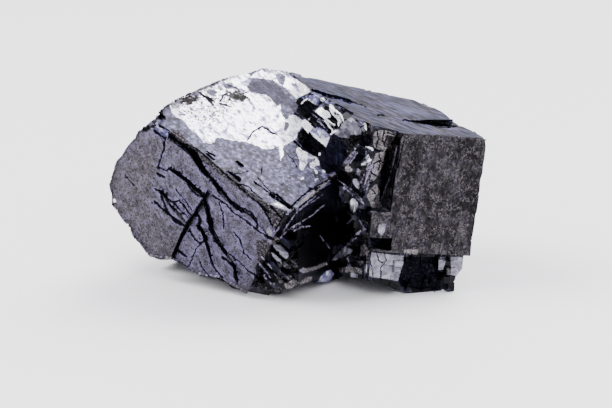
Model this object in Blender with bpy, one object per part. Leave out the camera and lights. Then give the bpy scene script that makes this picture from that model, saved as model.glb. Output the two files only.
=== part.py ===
"""A specimen of galena, the ore of lead: two crystals grown together, one solid that lies on a flat cut.

The left crystal is a leaning cube. Its top looks bright, the face at its front left is cracked, and the face
at its front right is a dark cleavage that runs in under the right crystal. The right crystal is an upright
block with a flat front, a sloping top and a ledge under its front. Between the two the cleavage comes down in
small stairs. Every outline is in millimetres along the axes of the crystal that it belongs to.
"""
import math
import random

import bmesh
import bpy
from mathutils import Matrix, Vector

MM = 0.001
NAME = "galena_specimen"
REACH = 200.0                           # longer than the specimen, for cutters that end outside it
WELD_DISTANCE = 0.00001                 # metres

# Left crystal: the corner where its three faces meet, and the two edges of its bright top
LEFT_CORNER = (-2.3, -34.2, 25.1)
LEFT_RIDGE = (-0.782, 0.345, 0.520)
LEFT_EDGE = (0.523, 0.816, 0.245)
LEFT_LENGTH = 58.0                      # along the edge that runs to the back
LEFT_HEIGHT = 52.0                      # down from the bright top, before the cut on the ground
DARK_FACE_TURN = math.radians(25.0)     # the dark cleavage leans out from the cube by this much
DARK_FACE_START = 5.0                   # where it starts behind the cracked face
DARK_FACE_ROOT = 8.0                    # how far its wedge runs into the cube

# Right crystal: the upper left corner of its front, the front's upper edge and the edge that runs back
RIGHT_CORNER = (27.2, -19.8, 44.2)
RIGHT_FRONT = (0.955, 0.270, -0.124)
RIGHT_BACK = (-0.272, 0.962, 0.004)
RIGHT_DEPTH = 50.0
TOP_SLOPE = (0.155, -0.115, 0.981)      # the way its sloping top faces
GROUND_DEPTH = -48.0                    # below the front's upper edge, past the ground
ABOVE_TOP = 16.0                        # above the front's upper edge, past the highest point

# Cracked face of the left crystal: along the ridge, then down
CRACKED_FACE = [
    (44.7, -1.0), (44.9, 0.8), (46.2, 5.9), (47.4, 12.1), (49.1, 20.8), (48.7, 29.1), (45.7, 34.8),
    (39.3, 37.6), (35.6, 40.0), (29.7, 41.7), (23.3, 37.0), (16.0, 36.1), (8.6, 31.2), (2.7, 30.6),
    (-2.5, 29.1), (-0.1, 19.4), (1.0, 7.9), (0.8, -1.0)]

# Bright top of the left crystal: along the ridge, then back
BRIGHT_TOP = [
    (56.0, -1.0), (52.0, 6.0), (44.5, 12.7), (43.3, 20.3), (41.1, 31.6), (38.6, 37.9), (37.8, 42.7),
    (31.7, 48.2), (24.0, 50.0), (14.0, 52.0), (-6.0, 57.0), (-6.0, 33.0), (0.2, 25.0), (0.6, 4.0),
    (0.6, -1.0)]

# Front of the right crystal: along its upper edge, then up; the sloping top cuts it
BLOCK_FRONT = [
    (-0.1, 12.0), (23.9, 12.0), (24.0, -0.4), (24.9, -3.0), (24.8, -22.0), (24.9, -30.7), (24.4, -31.9),
    (-4.9, -31.9), (-5.2, -21.5), (-1.7, -21.1)]

# Ledge under the front, set back from it
LEDGE_RECESS = 1.8
LEDGE_FRONT = [
    (-4.4, -31.0), (22.7, -31.0), (22.9, -36.0), (20.8, -39.6), (18.2, -43.0), (18.0, -48.0), (-4.0, -48.0)]

# Sloping top, along the front's upper edge, then back: its right and rear border, then its left border
TOP_RIGHT = [
    (24.4, -2.0), (24.0, -0.5), (21.3, 6.2), (19.7, 8.9), (17.3, 19.1), (14.7, 24.9), (7.7, 29.9),
    (-1.3, 33.9), (-11.3, 39.3), (-18.6, 44.5)]
TOP_LEFT = [
    (-18.8, 43.6), (-17.6, 37.2), (-16.5, 28.6), (-14.7, 25.0), (-12.4, 20.0), (-11.1, 14.9), (-10.4, 10.5),
    (-8.5, 7.9), (-6.5, 5.3), (-3.7, 2.9), (-1.3, 1.9)]

# Front of what joins the two crystals, along the same directions
MIDDLE_FRONT = [(0.6, 1.6), (4.0, 1.6), (4.0, 31.0)]

# Long chip broken out of the sloping top, along the front's upper edge, then back
CHIP_DEPTH = 1.8
TOP_CHIP = [
    (3.5, 9.9), (10.2, 11.4), (19.4, 13.0), (20.8, 12.2), (20.4, 9.6), (15.4, 6.0), (12.7, 6.3), (9.0, 7.9)]

# Stairs between the crystals, on the left crystal's axes: lowest and highest corner of each
LEFT_STAIRS = [
    ((-4.0, 25.5, -10.6), (6.3, 46.0, 2.0)),
    ((-8.0, 28.4, -14.6), (8.2, 46.0, 1.0)),
    ((-2.0, 26.6, -4.5), (14.7, 46.0, 3.0)),
    ((-2.0, 30.6, -8.4), (15.6, 46.0, 3.0)),
    ((2.0, 33.2, -10.6), (14.0, 48.0, 3.0)),
    ((-2.0, 35.0, -5.4), (21.3, 50.0, 3.0)),
    ((5.0, 37.8, -7.6), (19.4, 50.0, 3.0))]

# Pillar and splinters beside the right crystal, on its axes
RIGHT_STAIRS = [
    ((-7.0, 4.0, -21.4), (0.5, 40.0, 12.0)),
    ((-9.0, 7.4, -18.5), (-6.5, 40.0, 12.0)),
    ((-10.8, 9.6, -21.5), (-8.5, 40.0, 12.0)),
    ((-6.6, 7.5, -30.0), (-4.8, 34.0, -25.6)),
    ((-6.1, 10.0, -48.0), (-4.0, 34.0, -30.9)),
    ((-8.0, 11.6, -22.6), (-4.6, 34.0, -17.2)),
    ((-7.0, 14.0, -38.5), (-4.7, 34.0, -33.5)),
    ((-6.4, 3.4, -38.2), (-3.7, 21.0, -35.4))]

# Plates that stand out where the dark cleavage meets the cracked face, on the left crystal's axes
PLATES = [
    ((-3.4, 2.6, 8.2), (1.6, 9.0, 10.0)),
    ((-4.8, 1.4, 11.2), (1.2, 9.0, 12.9)),
    ((-5.6, 2.2, 14.3), (0.8, 9.0, 16.2)),
    ((-7.4, 3.0, 17.6), (0.6, 9.0, 20.2)),
    ((-9.6, 3.8, 21.6), (0.4, 9.0, 26.0))]

# Chip off the left crystal's corner: how far it reaches along each of the three edges that meet there
CORNER_CHIP = (7.0, 4.0, 9.0)

# Small steps broken into the far end of the ridge, on the left crystal's axes
CORNER_STEPS = [
    ((42.2, -4.0, -4.0), (60.0, 3.4, 1.2)),
    ((38.3, -4.0, 1.9), (43.6, 1.4, 3.4)),
    ((43.6, -4.0, -4.0), (60.0, 2.4, 2.8)),
    ((44.6, -4.0, -4.0), (60.0, 5.6, 4.6)),
    ((45.6, -4.0, 2.0), (60.0, 3.2, 6.6))]

# Openings broken into the faces: a slot beside the pillar, a notch and a chip, on the right crystal's axes
RIGHT_CUTS = [
    ((-3.3, -4.0, -21.0), (-0.15, 9.0, -1.4)),
    ((-6.0, -4.0, -31.4), (1.3, 4.4, -28.1)),
    ((5.6, -4.0, -50.0), (16.2, 3.4, -31.9)),
    ((17.4, -4.0, -50.0), (18.6, 3.0, -31.9)),
    ((-6.0, -4.0, -50.0), (-3.2, 3.6, -38.8))]

# Slits in the bright top, on the left crystal's axes
TOP_SLITS = [
    ((18.4, 5.6, -1.0), (20.6, 6.6, 1.2)),
    ((15.8, 0.8, -1.0), (20.0, 1.5, 1.4)),
    ((24.6, 1.2, -1.0), (27.4, 1.9, 1.0)),
    ((1.6, 3.6, -1.0), (8.2, 4.5, 1.6)),
    ((8.0, 3.9, -1.0), (13.5, 4.3, 1.0))]

# Cracks in the cracked face: along the ridge, down, and how wide the crack is there
CRACK_DEPTH = 2.4
CRACKS = [
    [(38.0, 1.6, 0.5), (36.8, 2.1, 1.0), (30.8, 1.9, 1.5), (25.7, 3.9, 1.9), (22.4, 4.6, 1.2),
     (19.1, 6.4, 1.6), (14.8, 7.2, 1.2), (9.2, 6.4, 0.7), (2.4, 8.4, 0.3)],
    [(34.8, 10.9, 0.6), (31.5, 10.4, 1.5), (29.2, 10.6, 0.9), (25.4, 11.0, 1.5), (22.2, 11.3, 1.0),
     (21.4, 13.4, 0.8), (18.2, 17.1, 1.5), (16.6, 19.0, 0.9), (13.9, 21.2, 1.3), (8.1, 23.9, 1.0),
     (4.5, 27.8, 0.5)],
    [(35.0, 19.5, 1.0), (33.0, 19.8, 1.5), (30.3, 21.2, 1.0), (27.0, 22.0, 1.4), (23.7, 23.2, 0.9)],
    [(21.8, 8.8, 0.5), (22.4, 15.2, 0.7), (23.2, 21.7, 1.1), (23.8, 28.0, 0.8), (23.5, 36.4, 1.3)],
    [(20.9, 20.7, 0.8), (18.6, 22.0, 1.4), (17.4, 23.5, 0.9), (13.1, 28.5, 0.7)]]

# Underside, seen from the front: across and up, tilted a little more than the view so that it stays hidden
UNDERSIDE_TILT = math.radians(16.5)
UNDERSIDE_Y = -20.0
UNDERSIDE = [
    (-70.0, 24.0), (-50.6, 24.0), (-48.0, 20.0), (-45.6, 17.0), (-43.0, 12.0), (-40.2, 10.4), (-37.8, 9.5),
    (-33.6, 9.8), (-29.2, 6.8), (-26.4, 5.4), (-22.4, 4.9), (-18.9, 3.6), (-15.6, 1.0), (-13.1, -1.4),
    (-8.4, -1.4), (-7.0, 1.0), (-4.2, 0.9), (-1.6, 2.0), (1.0, 3.1), (3.1, 3.9), (8.9, 3.9), (12.8, 5.3),
    (16.8, 4.7), (19.9, 4.2), (24.7, 2.5), (27.3, 1.7), (31.0, 0.2), (33.0, -1.4), (33.0, -20.0),
    (-70.0, -20.0)]
GROUND = -0.5

# Rear of the two crystals: blocks that stand out and corners broken away, on each crystal's axes
LEFT_REAR = [((1.0, 7.0, 18.0), (37.0, 54.0, 66.0))]
RIGHT_REAR = [
    ((-19.0, 18.0, -60.0), (10.5, 46.5, -2.6)),
    ((-8.0, 18.0, -60.0), (15.8, 38.0, -11.0)),
    ((6.0, 14.0, -60.0), (20.3, 29.0, -23.5)),
    ((-28.0, 20.0, -60.0), (0.0, 40.0, -13.0))]
LEFT_REAR_CUTS = [
    ((41.4, 15.0, 8.0), (70.0, 70.0, 70.0)),
    ((38.2, 24.5, 19.0), (70.0, 70.0, 70.0)),
    ((34.0, 35.0, 12.5), (70.0, 70.0, 70.0))]
RIGHT_REAR_CUTS = [
    ((21.6, 8.0, -60.0), (70.0, 70.0, -28.0)),
    ((19.0, 15.5, -18.0), (70.0, 70.0, -9.0)),
    ((-16.0, 40.5, -20.0), (4.0, 70.0, 20.0))]

# Where small cleavage steps stand on the surface: crystal, lowest and highest corner of the zone on its axes,
# number of steps, their smallest and largest side, and the most that one stands out or is broken in
STEP_SEED = 7
STEP_ZONES = [
    ("left", (-8.0, 24.0, -15.0), (21.0, 38.0, 1.0), 26, 1.2, 3.8, 0.6),
    ("right", (-11.5, 2.5, -46.0), (-3.5, 18.0, -2.5), 34, 1.2, 4.6, 0.8),
    ("left", (-10.5, 0.5, 7.0), (0.6, 10.0, 30.0), 20, 1.0, 3.6, 0.7),
    ("right", (4.0, 1.0, -43.5), (20.5, 4.5, -33.0), 32, 1.0, 4.0, 1.0),
    ("left", (-16.0, 8.0, 27.0), (-9.0, 34.0, 37.0), 18, 1.0, 4.0, 0.8),
    ("left", (36.0, 14.0, 12.0), (50.0, 50.0, 44.0), 28, 4.0, 13.0, 1.6),
    ("right", (8.0, 8.0, -42.0), (26.0, 46.0, -9.0), 30, 4.0, 15.0, 1.7),
    ("right", (-30.0, 26.0, -42.0), (10.0, 50.0, -13.0), 30, 4.0, 15.0, 1.9),
    ("left", (-20.0, 20.0, 26.0), (50.0, 70.0, 66.0), 40, 5.0, 18.0, 2.6)]

# Planes that trim the rear: a point and the way it faces
REAR_PLANES = [
    ((0.0, 35.0, 20.0), (-0.10, 1.0, 0.16)),
    ((-30.0, 24.0, 22.0), (-0.80, 0.62, -0.12)),
    ((31.0, 19.0, 20.0), (0.50, 0.80, 0.10)),
    ((45.0, 2.0, 12.0), (0.93, 0.33, -0.12))]


def clear_scene():
    for item in list(bpy.data.objects):
        bpy.data.objects.remove(item, do_unlink=True)


def crystal_axes(corner, first_edge, second_edge):
    """A crystal's own square axes, with their zero at one of its corners."""
    first = Vector(first_edge).normalized()
    third = first.cross(Vector(second_edge)).normalized()
    second = third.cross(first)
    axes = Matrix((first, second, third)).transposed().to_4x4()
    axes.translation = Vector(corner) * MM
    return axes


LEFT = crystal_axes(LEFT_CORNER, LEFT_RIDGE, LEFT_EDGE)
RIGHT = crystal_axes(RIGHT_CORNER, RIGHT_FRONT, RIGHT_BACK)

# How an outline lies on a crystal's axes: across the first and second, or across the first and third
FLAT = Matrix.Identity(4)
UPRIGHT = Matrix(((1, 0, 0, 0), (0, 0, -1, 0), (0, 1, 0, 0), (0, 0, 0, 1)))


def weld(mesh):
    work = bmesh.new()
    work.from_mesh(mesh)
    bmesh.ops.remove_doubles(work, verts=work.verts, dist=WELD_DISTANCE)
    bmesh.ops.recalc_face_normals(work, faces=work.faces)
    work.to_mesh(mesh)
    work.free()


def prism(name, outline, start, end, axes, lay=FLAT):
    """An outline pushed from start to end along the third of the axes that it doesn't lie across."""
    curve = bpy.data.curves.new(name, "CURVE")
    curve.dimensions = "2D"
    curve.fill_mode = "BOTH"
    curve.extrude = abs(end - start) / 2 * MM
    spline = curve.splines.new("POLY")
    spline.points.add(len(outline) - 1)
    for point, (across, along) in zip(spline.points, outline):
        point.co = (across * MM, along * MM, 0.0, 1.0)
    spline.use_cyclic_u = True
    flat = bpy.data.objects.new(name, curve)
    bpy.context.scene.collection.objects.link(flat)
    direction = -1 if lay is UPRIGHT else 1
    flat.matrix_world = axes @ lay @ Matrix.Translation((0, 0, direction * (start + end) / 2 * MM))
    bpy.context.view_layer.update()
    mesh = bpy.data.meshes.new_from_object(flat.evaluated_get(bpy.context.evaluated_depsgraph_get()))
    mesh.transform(flat.matrix_world)
    bpy.data.objects.remove(flat, do_unlink=True)
    weld(mesh)
    return add_object(name, mesh)


def block(name, low, high, axes):
    """A box between two corners on a crystal's axes."""
    size = [(b - a) * MM for a, b in zip(low, high)]
    centre = [(a + b) / 2 * MM for a, b in zip(low, high)]
    bpy.ops.mesh.primitive_cube_add(size=1.0)
    box = bpy.context.active_object
    box.name = name
    box.data.transform(axes @ Matrix.Translation(centre) @ Matrix.Diagonal((*size, 1.0)))
    return box


def add_object(name, mesh):
    item = bpy.data.objects.new(name, mesh)
    bpy.context.scene.collection.objects.link(item)
    return item


def combine(target, tool, operation):
    """Joins, cuts or trims the target by the tool, and leaves the target alone in the scene."""
    step = target.modifiers.new(operation.lower(), "BOOLEAN")
    step.operation = operation
    step.object = tool
    step.solver = "MANIFOLD"
    bpy.context.view_layer.update()
    made = bpy.data.meshes.new_from_object(target.evaluated_get(bpy.context.evaluated_depsgraph_get()))
    target.modifiers.clear()
    target.data = made
    bpy.data.objects.remove(tool, do_unlink=True)
    return target


def beyond_plane(name, point, facing):
    """A large box whose one side lies on a plane, on the side that the plane faces."""
    turn = Vector(facing).normalized().to_track_quat("Z", "Y").to_matrix().to_4x4()
    place = Matrix.Translation(Vector(point) * MM) @ turn
    return block(name, (-REACH, -REACH, 0.0), (REACH, REACH, REACH), place)


def view_axes():
    """Axes for the underside: across, and up square to its tilt."""
    slope = (0.0, math.cos(UNDERSIDE_TILT), -math.sin(UNDERSIDE_TILT))
    return crystal_axes((0.0, UNDERSIDE_Y, 0.0), (1.0, 0.0, 0.0), slope)


def ribbon(line):
    """The outline of a crack: its middle line with half of its width laid off on both sides."""
    one_side, other_side = [], []
    for number, (across, along, width) in enumerate(line):
        before = Vector(line[max(number - 1, 0)][:2])
        after = Vector(line[min(number + 1, len(line) - 1)][:2])
        way = (after - before).normalized()
        aside = Vector((-way.y, way.x)) * width / 2
        one_side.append(tuple(Vector((across, along)) + aside))
        other_side.append(tuple(Vector((across, along)) - aside))
    return one_side + other_side[::-1]


def left_crystal():
    crystal = prism("left", CRACKED_FACE, 0.0, LEFT_LENGTH, LEFT, UPRIGHT)
    return combine(crystal, prism("top", BRIGHT_TOP, 0.0, LEFT_HEIGHT, LEFT), "INTERSECT")


def corner_chip():
    """What lies outside a plane across the left crystal's corner."""
    facing = LEFT.to_3x3() @ Vector([-1.0 / reach for reach in CORNER_CHIP])
    start = LEFT @ Vector((CORNER_CHIP[0] * MM, 0.0, 0.0))
    return beyond_plane("chip", start / MM, facing)


def dark_face():
    """The wedge that carries the dark cleavage, in front of the left crystal's own third face."""
    lean = math.tan(DARK_FACE_TURN)
    foot = (-lean * LEFT_HEIGHT, LEFT_HEIGHT)
    outline = [(0.5, -0.3), foot, (DARK_FACE_ROOT, LEFT_HEIGHT), (DARK_FACE_ROOT, -0.3)]
    return prism("dark_face", outline, DARK_FACE_START, LEFT_LENGTH, LEFT, UPRIGHT)


def middle():
    """What lies under the sloping top, cut back along the dark cleavage."""
    body = prism("middle", MIDDLE_FRONT + TOP_RIGHT[7:] + TOP_LEFT, GROUND_DEPTH, ABOVE_TOP, RIGHT)
    lean = math.tan(DARK_FACE_TURN)
    front = [(0.3, -0.6), (-REACH, -0.6), (-REACH, REACH), (-lean * REACH, REACH)]
    return combine(body, prism("front", front, -REACH, REACH, LEFT, UPRIGHT), "DIFFERENCE")


def right_crystal():
    crystal = prism("right", BLOCK_FRONT, 0.0, RIGHT_DEPTH, RIGHT, UPRIGHT)
    combine(crystal, prism("ledge", LEDGE_FRONT, LEDGE_RECESS, RIGHT_DEPTH, RIGHT, UPRIGHT), "UNION")
    outline = [(-8.0, -4.0)] + TOP_RIGHT[:8] + [(-8.0, 36.0)]
    return combine(crystal, prism("plan", outline, -REACH, ABOVE_TOP, RIGHT), "INTERSECT")


def top_chip():
    """A cutter that follows the slope of the top: the chip's outline, down to the chip's depth."""
    chip = prism("chip", TOP_CHIP, -4.0, ABOVE_TOP, RIGHT)
    below = Vector(RIGHT_CORNER) - Vector(TOP_SLOPE).normalized() * CHIP_DEPTH
    return combine(chip, beyond_plane("deeper", below, -Vector(TOP_SLOPE)), "DIFFERENCE")


def join_blocks(target, corners, axes, operation="UNION"):
    for low, high in corners:
        combine(target, block("block", low, high, axes), operation)


def front_of_right():
    """The right crystal, with the stairs that run down to the left crystal."""
    body = middle()
    combine(body, right_crystal(), "UNION")
    join_blocks(body, RIGHT_STAIRS, RIGHT)
    join_blocks(body, LEFT_STAIRS, LEFT)
    combine(body, beyond_plane("sky", RIGHT_CORNER, TOP_SLOPE), "DIFFERENCE")
    combine(body, top_chip(), "DIFFERENCE")
    join_blocks(body, RIGHT_REAR, RIGHT)
    join_blocks(body, RIGHT_CUTS + RIGHT_REAR_CUTS, RIGHT, "DIFFERENCE")
    return body


def front_of_left():
    """The left crystal, with its dark face, broken corners, slits and cracks."""
    body = left_crystal()
    join_blocks(body, LEFT_REAR, LEFT)
    combine(body, corner_chip(), "DIFFERENCE")
    combine(body, dark_face(), "UNION")
    join_blocks(body, PLATES, LEFT)
    join_blocks(body, CORNER_STEPS + TOP_SLITS + LEFT_REAR_CUTS, LEFT, "DIFFERENCE")
    for line in CRACKS:
        combine(body, prism("crack", ribbon(line), -1.0, CRACK_DEPTH, LEFT, UPRIGHT), "DIFFERENCE")
    return body


def surface_points(body, axes, low, high, count, draw):
    """Points on the surface inside a zone, but not on the sloping top, with the way it faces at each."""
    inside = axes.inverted()
    top = (inside.to_3x3() @ Vector(TOP_SLOPE)).normalized()
    mesh = body.data
    mesh.calc_loop_triangles()
    corners = [[inside @ mesh.vertices[v].co / MM for v in face.vertices] for face in mesh.loop_triangles]
    across = [(b - a).cross(c - a) for a, b, c in corners]
    areas = [0.0 if vector.normalized().dot(top) > 0.999 else vector.length for vector in across]
    points = []
    for attempt in range(count * 400):
        number = draw.choices(range(len(corners)), areas)[0]
        a, b, c = corners[number]
        first, second = sorted((draw.random(), draw.random()))
        point = a * first + b * (second - first) + c * (1.0 - second)
        if all(least < value < most for least, value, most in zip(low, point, high)):
            points.append((point, across[number].normalized()))
            if len(points) == count:
                break
    return points


def step_corners(point, facing, half, depth):
    """Opposite corners of a box whose farthest corner stands out of the surface by the depth."""
    reach = sum(abs(way) * extent for way, extent in zip(facing, half))
    centre = point + facing * (depth - reach)
    return centre - half, centre + half


def small_steps(body):
    """Cleavage steps in the rough zones: two stand out for each one that is broken in."""
    draw = random.Random(STEP_SEED)
    for crystal, low, high, count, smallest, largest, relief in STEP_ZONES:
        axes = LEFT if crystal == "left" else RIGHT
        for number, (point, facing) in enumerate(surface_points(body, axes, low, high, count, draw)):
            half = Vector([draw.uniform(smallest, largest) / 2 for axis in range(3)])
            depth = draw.uniform(0.3, 1.0) * relief
            operation = "UNION" if number % 3 else "DIFFERENCE"
            side = 1.0 if number % 3 else -1.0
            corners = step_corners(point, facing * side, half, depth)
            combine(body, block("small_step", *corners, axes), operation)


def keep_outer_skin(body):
    """Makes solid what the steps closed in: only the surface that joins the highest corner stays."""
    work = bmesh.new()
    work.from_mesh(body.data)
    highest = max(work.verts, key=lambda vertex: vertex.co.z)
    reached, waiting = {highest}, [highest]
    while waiting:
        for edge in waiting.pop().link_edges:
            for vertex in edge.verts:
                if vertex not in reached:
                    reached.add(vertex)
                    waiting.append(vertex)
    closed_in = [vertex for vertex in work.verts if vertex not in reached]
    bmesh.ops.delete(work, geom=closed_in, context="VERTS")
    work.to_mesh(body.data)
    work.free()


def trim_rear(body):
    for point, facing in REAR_PLANES:
        combine(body, beyond_plane("rear", point, facing), "DIFFERENCE")


def rest_on_ground(body):
    """Cuts the underside, and moves the specimen until its box stands centred on the origin."""
    combine(body, prism("underside", UNDERSIDE, -REACH, REACH, view_axes(), UPRIGHT), "DIFFERENCE")
    combine(body, beyond_plane("ground", (0.0, 0.0, GROUND), (0.0, 0.0, -1.0)), "DIFFERENCE")
    places = [vertex.co for vertex in body.data.vertices]
    low = [min(place[axis] for place in places) for axis in range(3)]
    high = [max(place[axis] for place in places) for axis in range(3)]
    centre = Vector(((low[0] + high[0]) / 2, (low[1] + high[1]) / 2, low[2]))
    body.data.transform(Matrix.Translation(-centre))


def galena():
    """Bright grey metal-like mineral."""
    material = bpy.data.materials.new("galena")
    material.use_nodes = True
    shader = material.node_tree.nodes["Principled BSDF"]
    shader.inputs["Base Color"].default_value = (0.16, 0.16, 0.18, 1.0)
    shader.inputs["Metallic"].default_value = 1.0
    shader.inputs["Roughness"].default_value = 0.35
    return material


def main():
    clear_scene()
    body = front_of_left()
    combine(body, front_of_right(), "UNION")
    trim_rear(body)
    small_steps(body)
    rest_on_ground(body)
    keep_outer_skin(body)
    body.name = NAME
    body.data.materials.clear()
    body.data.materials.append(galena())


main()
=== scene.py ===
"""Looks of the galena specimen: two crystals grown together, on a pale floor in soft studio light.

The solid is covered with a fine mesh, and the mesh is worked over face by face: cracks, pits and terraces on
the flat faces, small cleavage steps where the crystals are broken. Each kind of surface has a material of its
own. Outlines and lines that the materials follow are in pixels of the photograph; sizes are in millimetres.
"""
import math

import bmesh
import bpy
import numpy as np
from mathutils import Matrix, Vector
from mathutils.bvhtree import BVHTree


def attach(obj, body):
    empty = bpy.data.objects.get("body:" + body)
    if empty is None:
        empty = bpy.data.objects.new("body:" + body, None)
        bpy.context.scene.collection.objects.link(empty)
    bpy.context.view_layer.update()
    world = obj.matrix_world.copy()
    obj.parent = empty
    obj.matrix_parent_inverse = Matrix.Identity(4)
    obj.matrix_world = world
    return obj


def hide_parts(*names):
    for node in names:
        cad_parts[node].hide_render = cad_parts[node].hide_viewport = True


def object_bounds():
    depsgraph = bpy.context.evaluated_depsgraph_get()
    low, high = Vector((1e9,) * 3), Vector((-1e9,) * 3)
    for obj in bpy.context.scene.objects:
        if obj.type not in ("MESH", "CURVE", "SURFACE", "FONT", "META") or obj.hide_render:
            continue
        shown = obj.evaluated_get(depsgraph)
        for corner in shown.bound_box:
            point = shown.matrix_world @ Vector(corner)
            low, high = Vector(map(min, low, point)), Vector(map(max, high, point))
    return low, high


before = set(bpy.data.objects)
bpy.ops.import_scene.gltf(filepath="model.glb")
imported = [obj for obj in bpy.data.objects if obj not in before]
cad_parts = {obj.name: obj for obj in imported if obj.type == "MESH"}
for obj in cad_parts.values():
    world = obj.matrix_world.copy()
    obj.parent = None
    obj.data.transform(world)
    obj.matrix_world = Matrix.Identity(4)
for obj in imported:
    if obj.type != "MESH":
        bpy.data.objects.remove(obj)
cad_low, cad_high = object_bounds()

MM = 0.001
NODE = "galena_specimen"
SEED = 11

# Where the crystals' corners lie once the specimen rests on the floor, and the ways of their edges
SETTLED = np.array((0.157, -5.806, 0.5))
LEFT_CORNER = np.array((-2.3, -34.2, 25.1)) + SETTLED
LEFT_RIDGE = (-0.782, 0.345, 0.520)
LEFT_EDGE = (0.523, 0.816, 0.245)
RIGHT_CORNER = np.array((27.2, -19.8, 44.2)) + SETTLED
RIGHT_FRONT = (0.955, 0.270, -0.124)
RIGHT_BACK = (-0.272, 0.962, 0.004)
TOP_SLOPE = (0.155, -0.115, 0.981)
DARK_FACE_TURN = math.radians(25.0)

# Borders along the crystals, in millimetres from their corners
LEFT_BEGINS = -6.0                     # breaks beyond it are the left crystal's, the rest the right one's
LEFT_END = -2.5                        # where the left crystal's bright and cracked faces end
PILLAR_LEFT = -7.3                     # left edge of the right crystal's front
FACES = ("bright", "cracked", "dark", "front", "slope")
GROOVED_FACES = ("bright", "cracked", "slope")   # whose wide cracks are cut in

# Camera of the photograph
LENS = 100.0
SENSOR = 36.0
CAMERA_HEIGHT_ANGLE = math.radians(15.0)
CAMERA_DISTANCE = 451.0
CAMERA_TARGET = np.array((2.6, -10.0, 22.7)) + SETTLED
NEAREST_SEEN = 0.01                    # metres
FARTHEST_SEEN = 20.0
FORWARD = np.array((0.0, math.cos(CAMERA_HEIGHT_ANGLE), -math.sin(CAMERA_HEIGHT_ANGLE)))
UP = np.array((0.0, math.sin(CAMERA_HEIGHT_ANGLE), math.cos(CAMERA_HEIGHT_ANGLE)))
EYE = (CAMERA_TARGET - CAMERA_DISTANCE * FORWARD) * MM

# Mesh that covers the solid
CELL_DEPTH = 9
CELL_SCALE = 0.55
KEPT_TRIANGLES = 192000
SIGHT_LIFT = 0.0005                    # metres off the surface, where a sight line starts
WELD_DISTANCE = 1e-6
SHARP_ANGLE = math.radians(28.0)
HIDDEN_RINGS = 2                       # edges between a visible point and the nearest one counted as hidden
FAR = 9.0                              # mm, beyond the reach of any outline
PIXEL = 0.263                          # mm that one pixel of the photograph shows
LINE_SPREAD = 0.05                     # mm that a crack or stroke is wider on each side than drawn

# A point lies on a flat face within a reach in mm, where it faces its way by a least share
SHAPED_REACH, SHAPED_FACING = 0.45, 0.86
PAINTED_REACH, PAINTED_FACING = 1.2, 0.3

# Terraces: height of a step on each flat face, in mm, and what the bright face's far rim adds to it
STEP_HEIGHTS = {"bright": 0.03, "cracked": 0.12, "dark": 0.06, "front": 0.05, "slope": 0.04}
RIM_STEP_HEIGHT = 0.08
RIM_START, RIM_WHOLE = 36.0, 44.0      # mm along the left ridge
RISER_SHARE = 0.35                     # part of a step that its short slope takes
LEVEL_REACH = 2.2                      # mm off a flat face, within which its terraces run on
PLATE_LEAN = (0.62, 0.78)              # the way that the cracked face's plates are drawn out
STREAK_WAY = (0.547, -0.837)           # the way of the streaks on the sloping top

# Relief in mm
PLATE_SWELL, SWELL_SIZE = 0.25, 7.0    # slow swell of the cracked face, and how wide it is
GROOVE_START, GROOVE_FLOOR = 0.9, 0.3  # of a crack's width, from its middle line
GROOVE_WANDER, WANDER_SIZE = 1.5, 1.2  # pixels to the side, and mm from bend to bend
LEAST_GROOVE = 1.5                     # pixels; narrower cracks are left to the material
EDGE_REACH = 0.6                       # off a flat face's plane, the edges that are worn
EDGE_WEAR, WEAR_THRESHOLD, WEAR_SIZE = 0.9, 0.4, 3.0
FLOOR_CLEAR = 0.8                      # above the floor, where nothing is pushed in
BLOCK_DEPTH, BLOCK_SIZE = 0.45, (3.4, 2.6, 2.1)
CHIP_DEPTH, CHIP_SIZE = 0.12, (1.5, 1.2, 1.0)
BLOCK_SHIFT = 0.3                      # keeps the blocks' borders off the flat faces

# The chip in the top edge: where its floor is raised, in pixels, and to what depth under the slope, in mm
HEAL_START, HEAL_WHOLE, HEAL_EASES, HEAL_END = 446.0, 451.0, 457.0, 463.0
HEAL_ROW, HEAL_ROWS = 125.0, 7.0
HEAL_FLOOR, HEAL_DEEPEST = -0.4, -3.0
TRIM_REACH = 14.0                      # pixels

# Painted light and shade on broken facets, lighter facing up, darker to the front: the tone of the rest, and
# what the ways of facing change
PLAIN_TONE, UP_FACING_LIGHT, FRONT_FACING_SHADE = 0.26, 0.4, -0.12
TONE_START, TONE_WHOLE = 0.7, 0.95

FLOOR_SIZE = 6.0                       # metres
ROOM_STRENGTH = 1.7
LAMP_AIM = Vector((0.0, 0.0, 0.03))    # metres, the middle of the specimen

# What nodes share. Map Range takes a value, where it starts and ends (1, 2) and what it gives there (3, 4),
# and changes softly between; Mix takes a share and two colours (6, 7)
SOFT = {"interpolation_type": "SMOOTHSTEP"}
TINTED = {"output": 2, "data_type": "RGBA"}


def unit(vector):
    return np.asarray(vector, float) / np.linalg.norm(vector)


def crystal_axes(first_edge, second_edge):
    """Three square ways as rows: the first edge, square to it in the plane of both, and square to both."""
    first = unit(first_edge)
    third = unit(np.cross(first, second_edge))
    return np.stack((first, np.cross(third, first), third))


LEFT = crystal_axes(LEFT_RIDGE, LEFT_EDGE)
RIGHT = crystal_axes(RIGHT_FRONT, RIGHT_BACK)
DARK_FACING = -math.cos(DARK_FACE_TURN) * LEFT[0] - math.sin(DARK_FACE_TURN) * LEFT[2]


def hashed(cells, seed):
    """A steady random value from 0 to 1 for each row of whole numbers, mixed with large odd numbers."""
    mixed = cells[:, 0] * 73856093 ^ cells[:, 1] * 19349663 ^ cells[:, 2] * 83492791 ^ seed * 2654435761
    mixed = (mixed ^ (mixed >> 13)) & 0x7FFFFFFF
    mixed = (mixed * 1274126177) & 0x7FFFFFFF
    mixed = (mixed ^ (mixed >> 16)) * 668265263 & 0x7FFFFFFF
    return ((mixed >> 7) & 0xFFFF) / 65535.0


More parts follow.
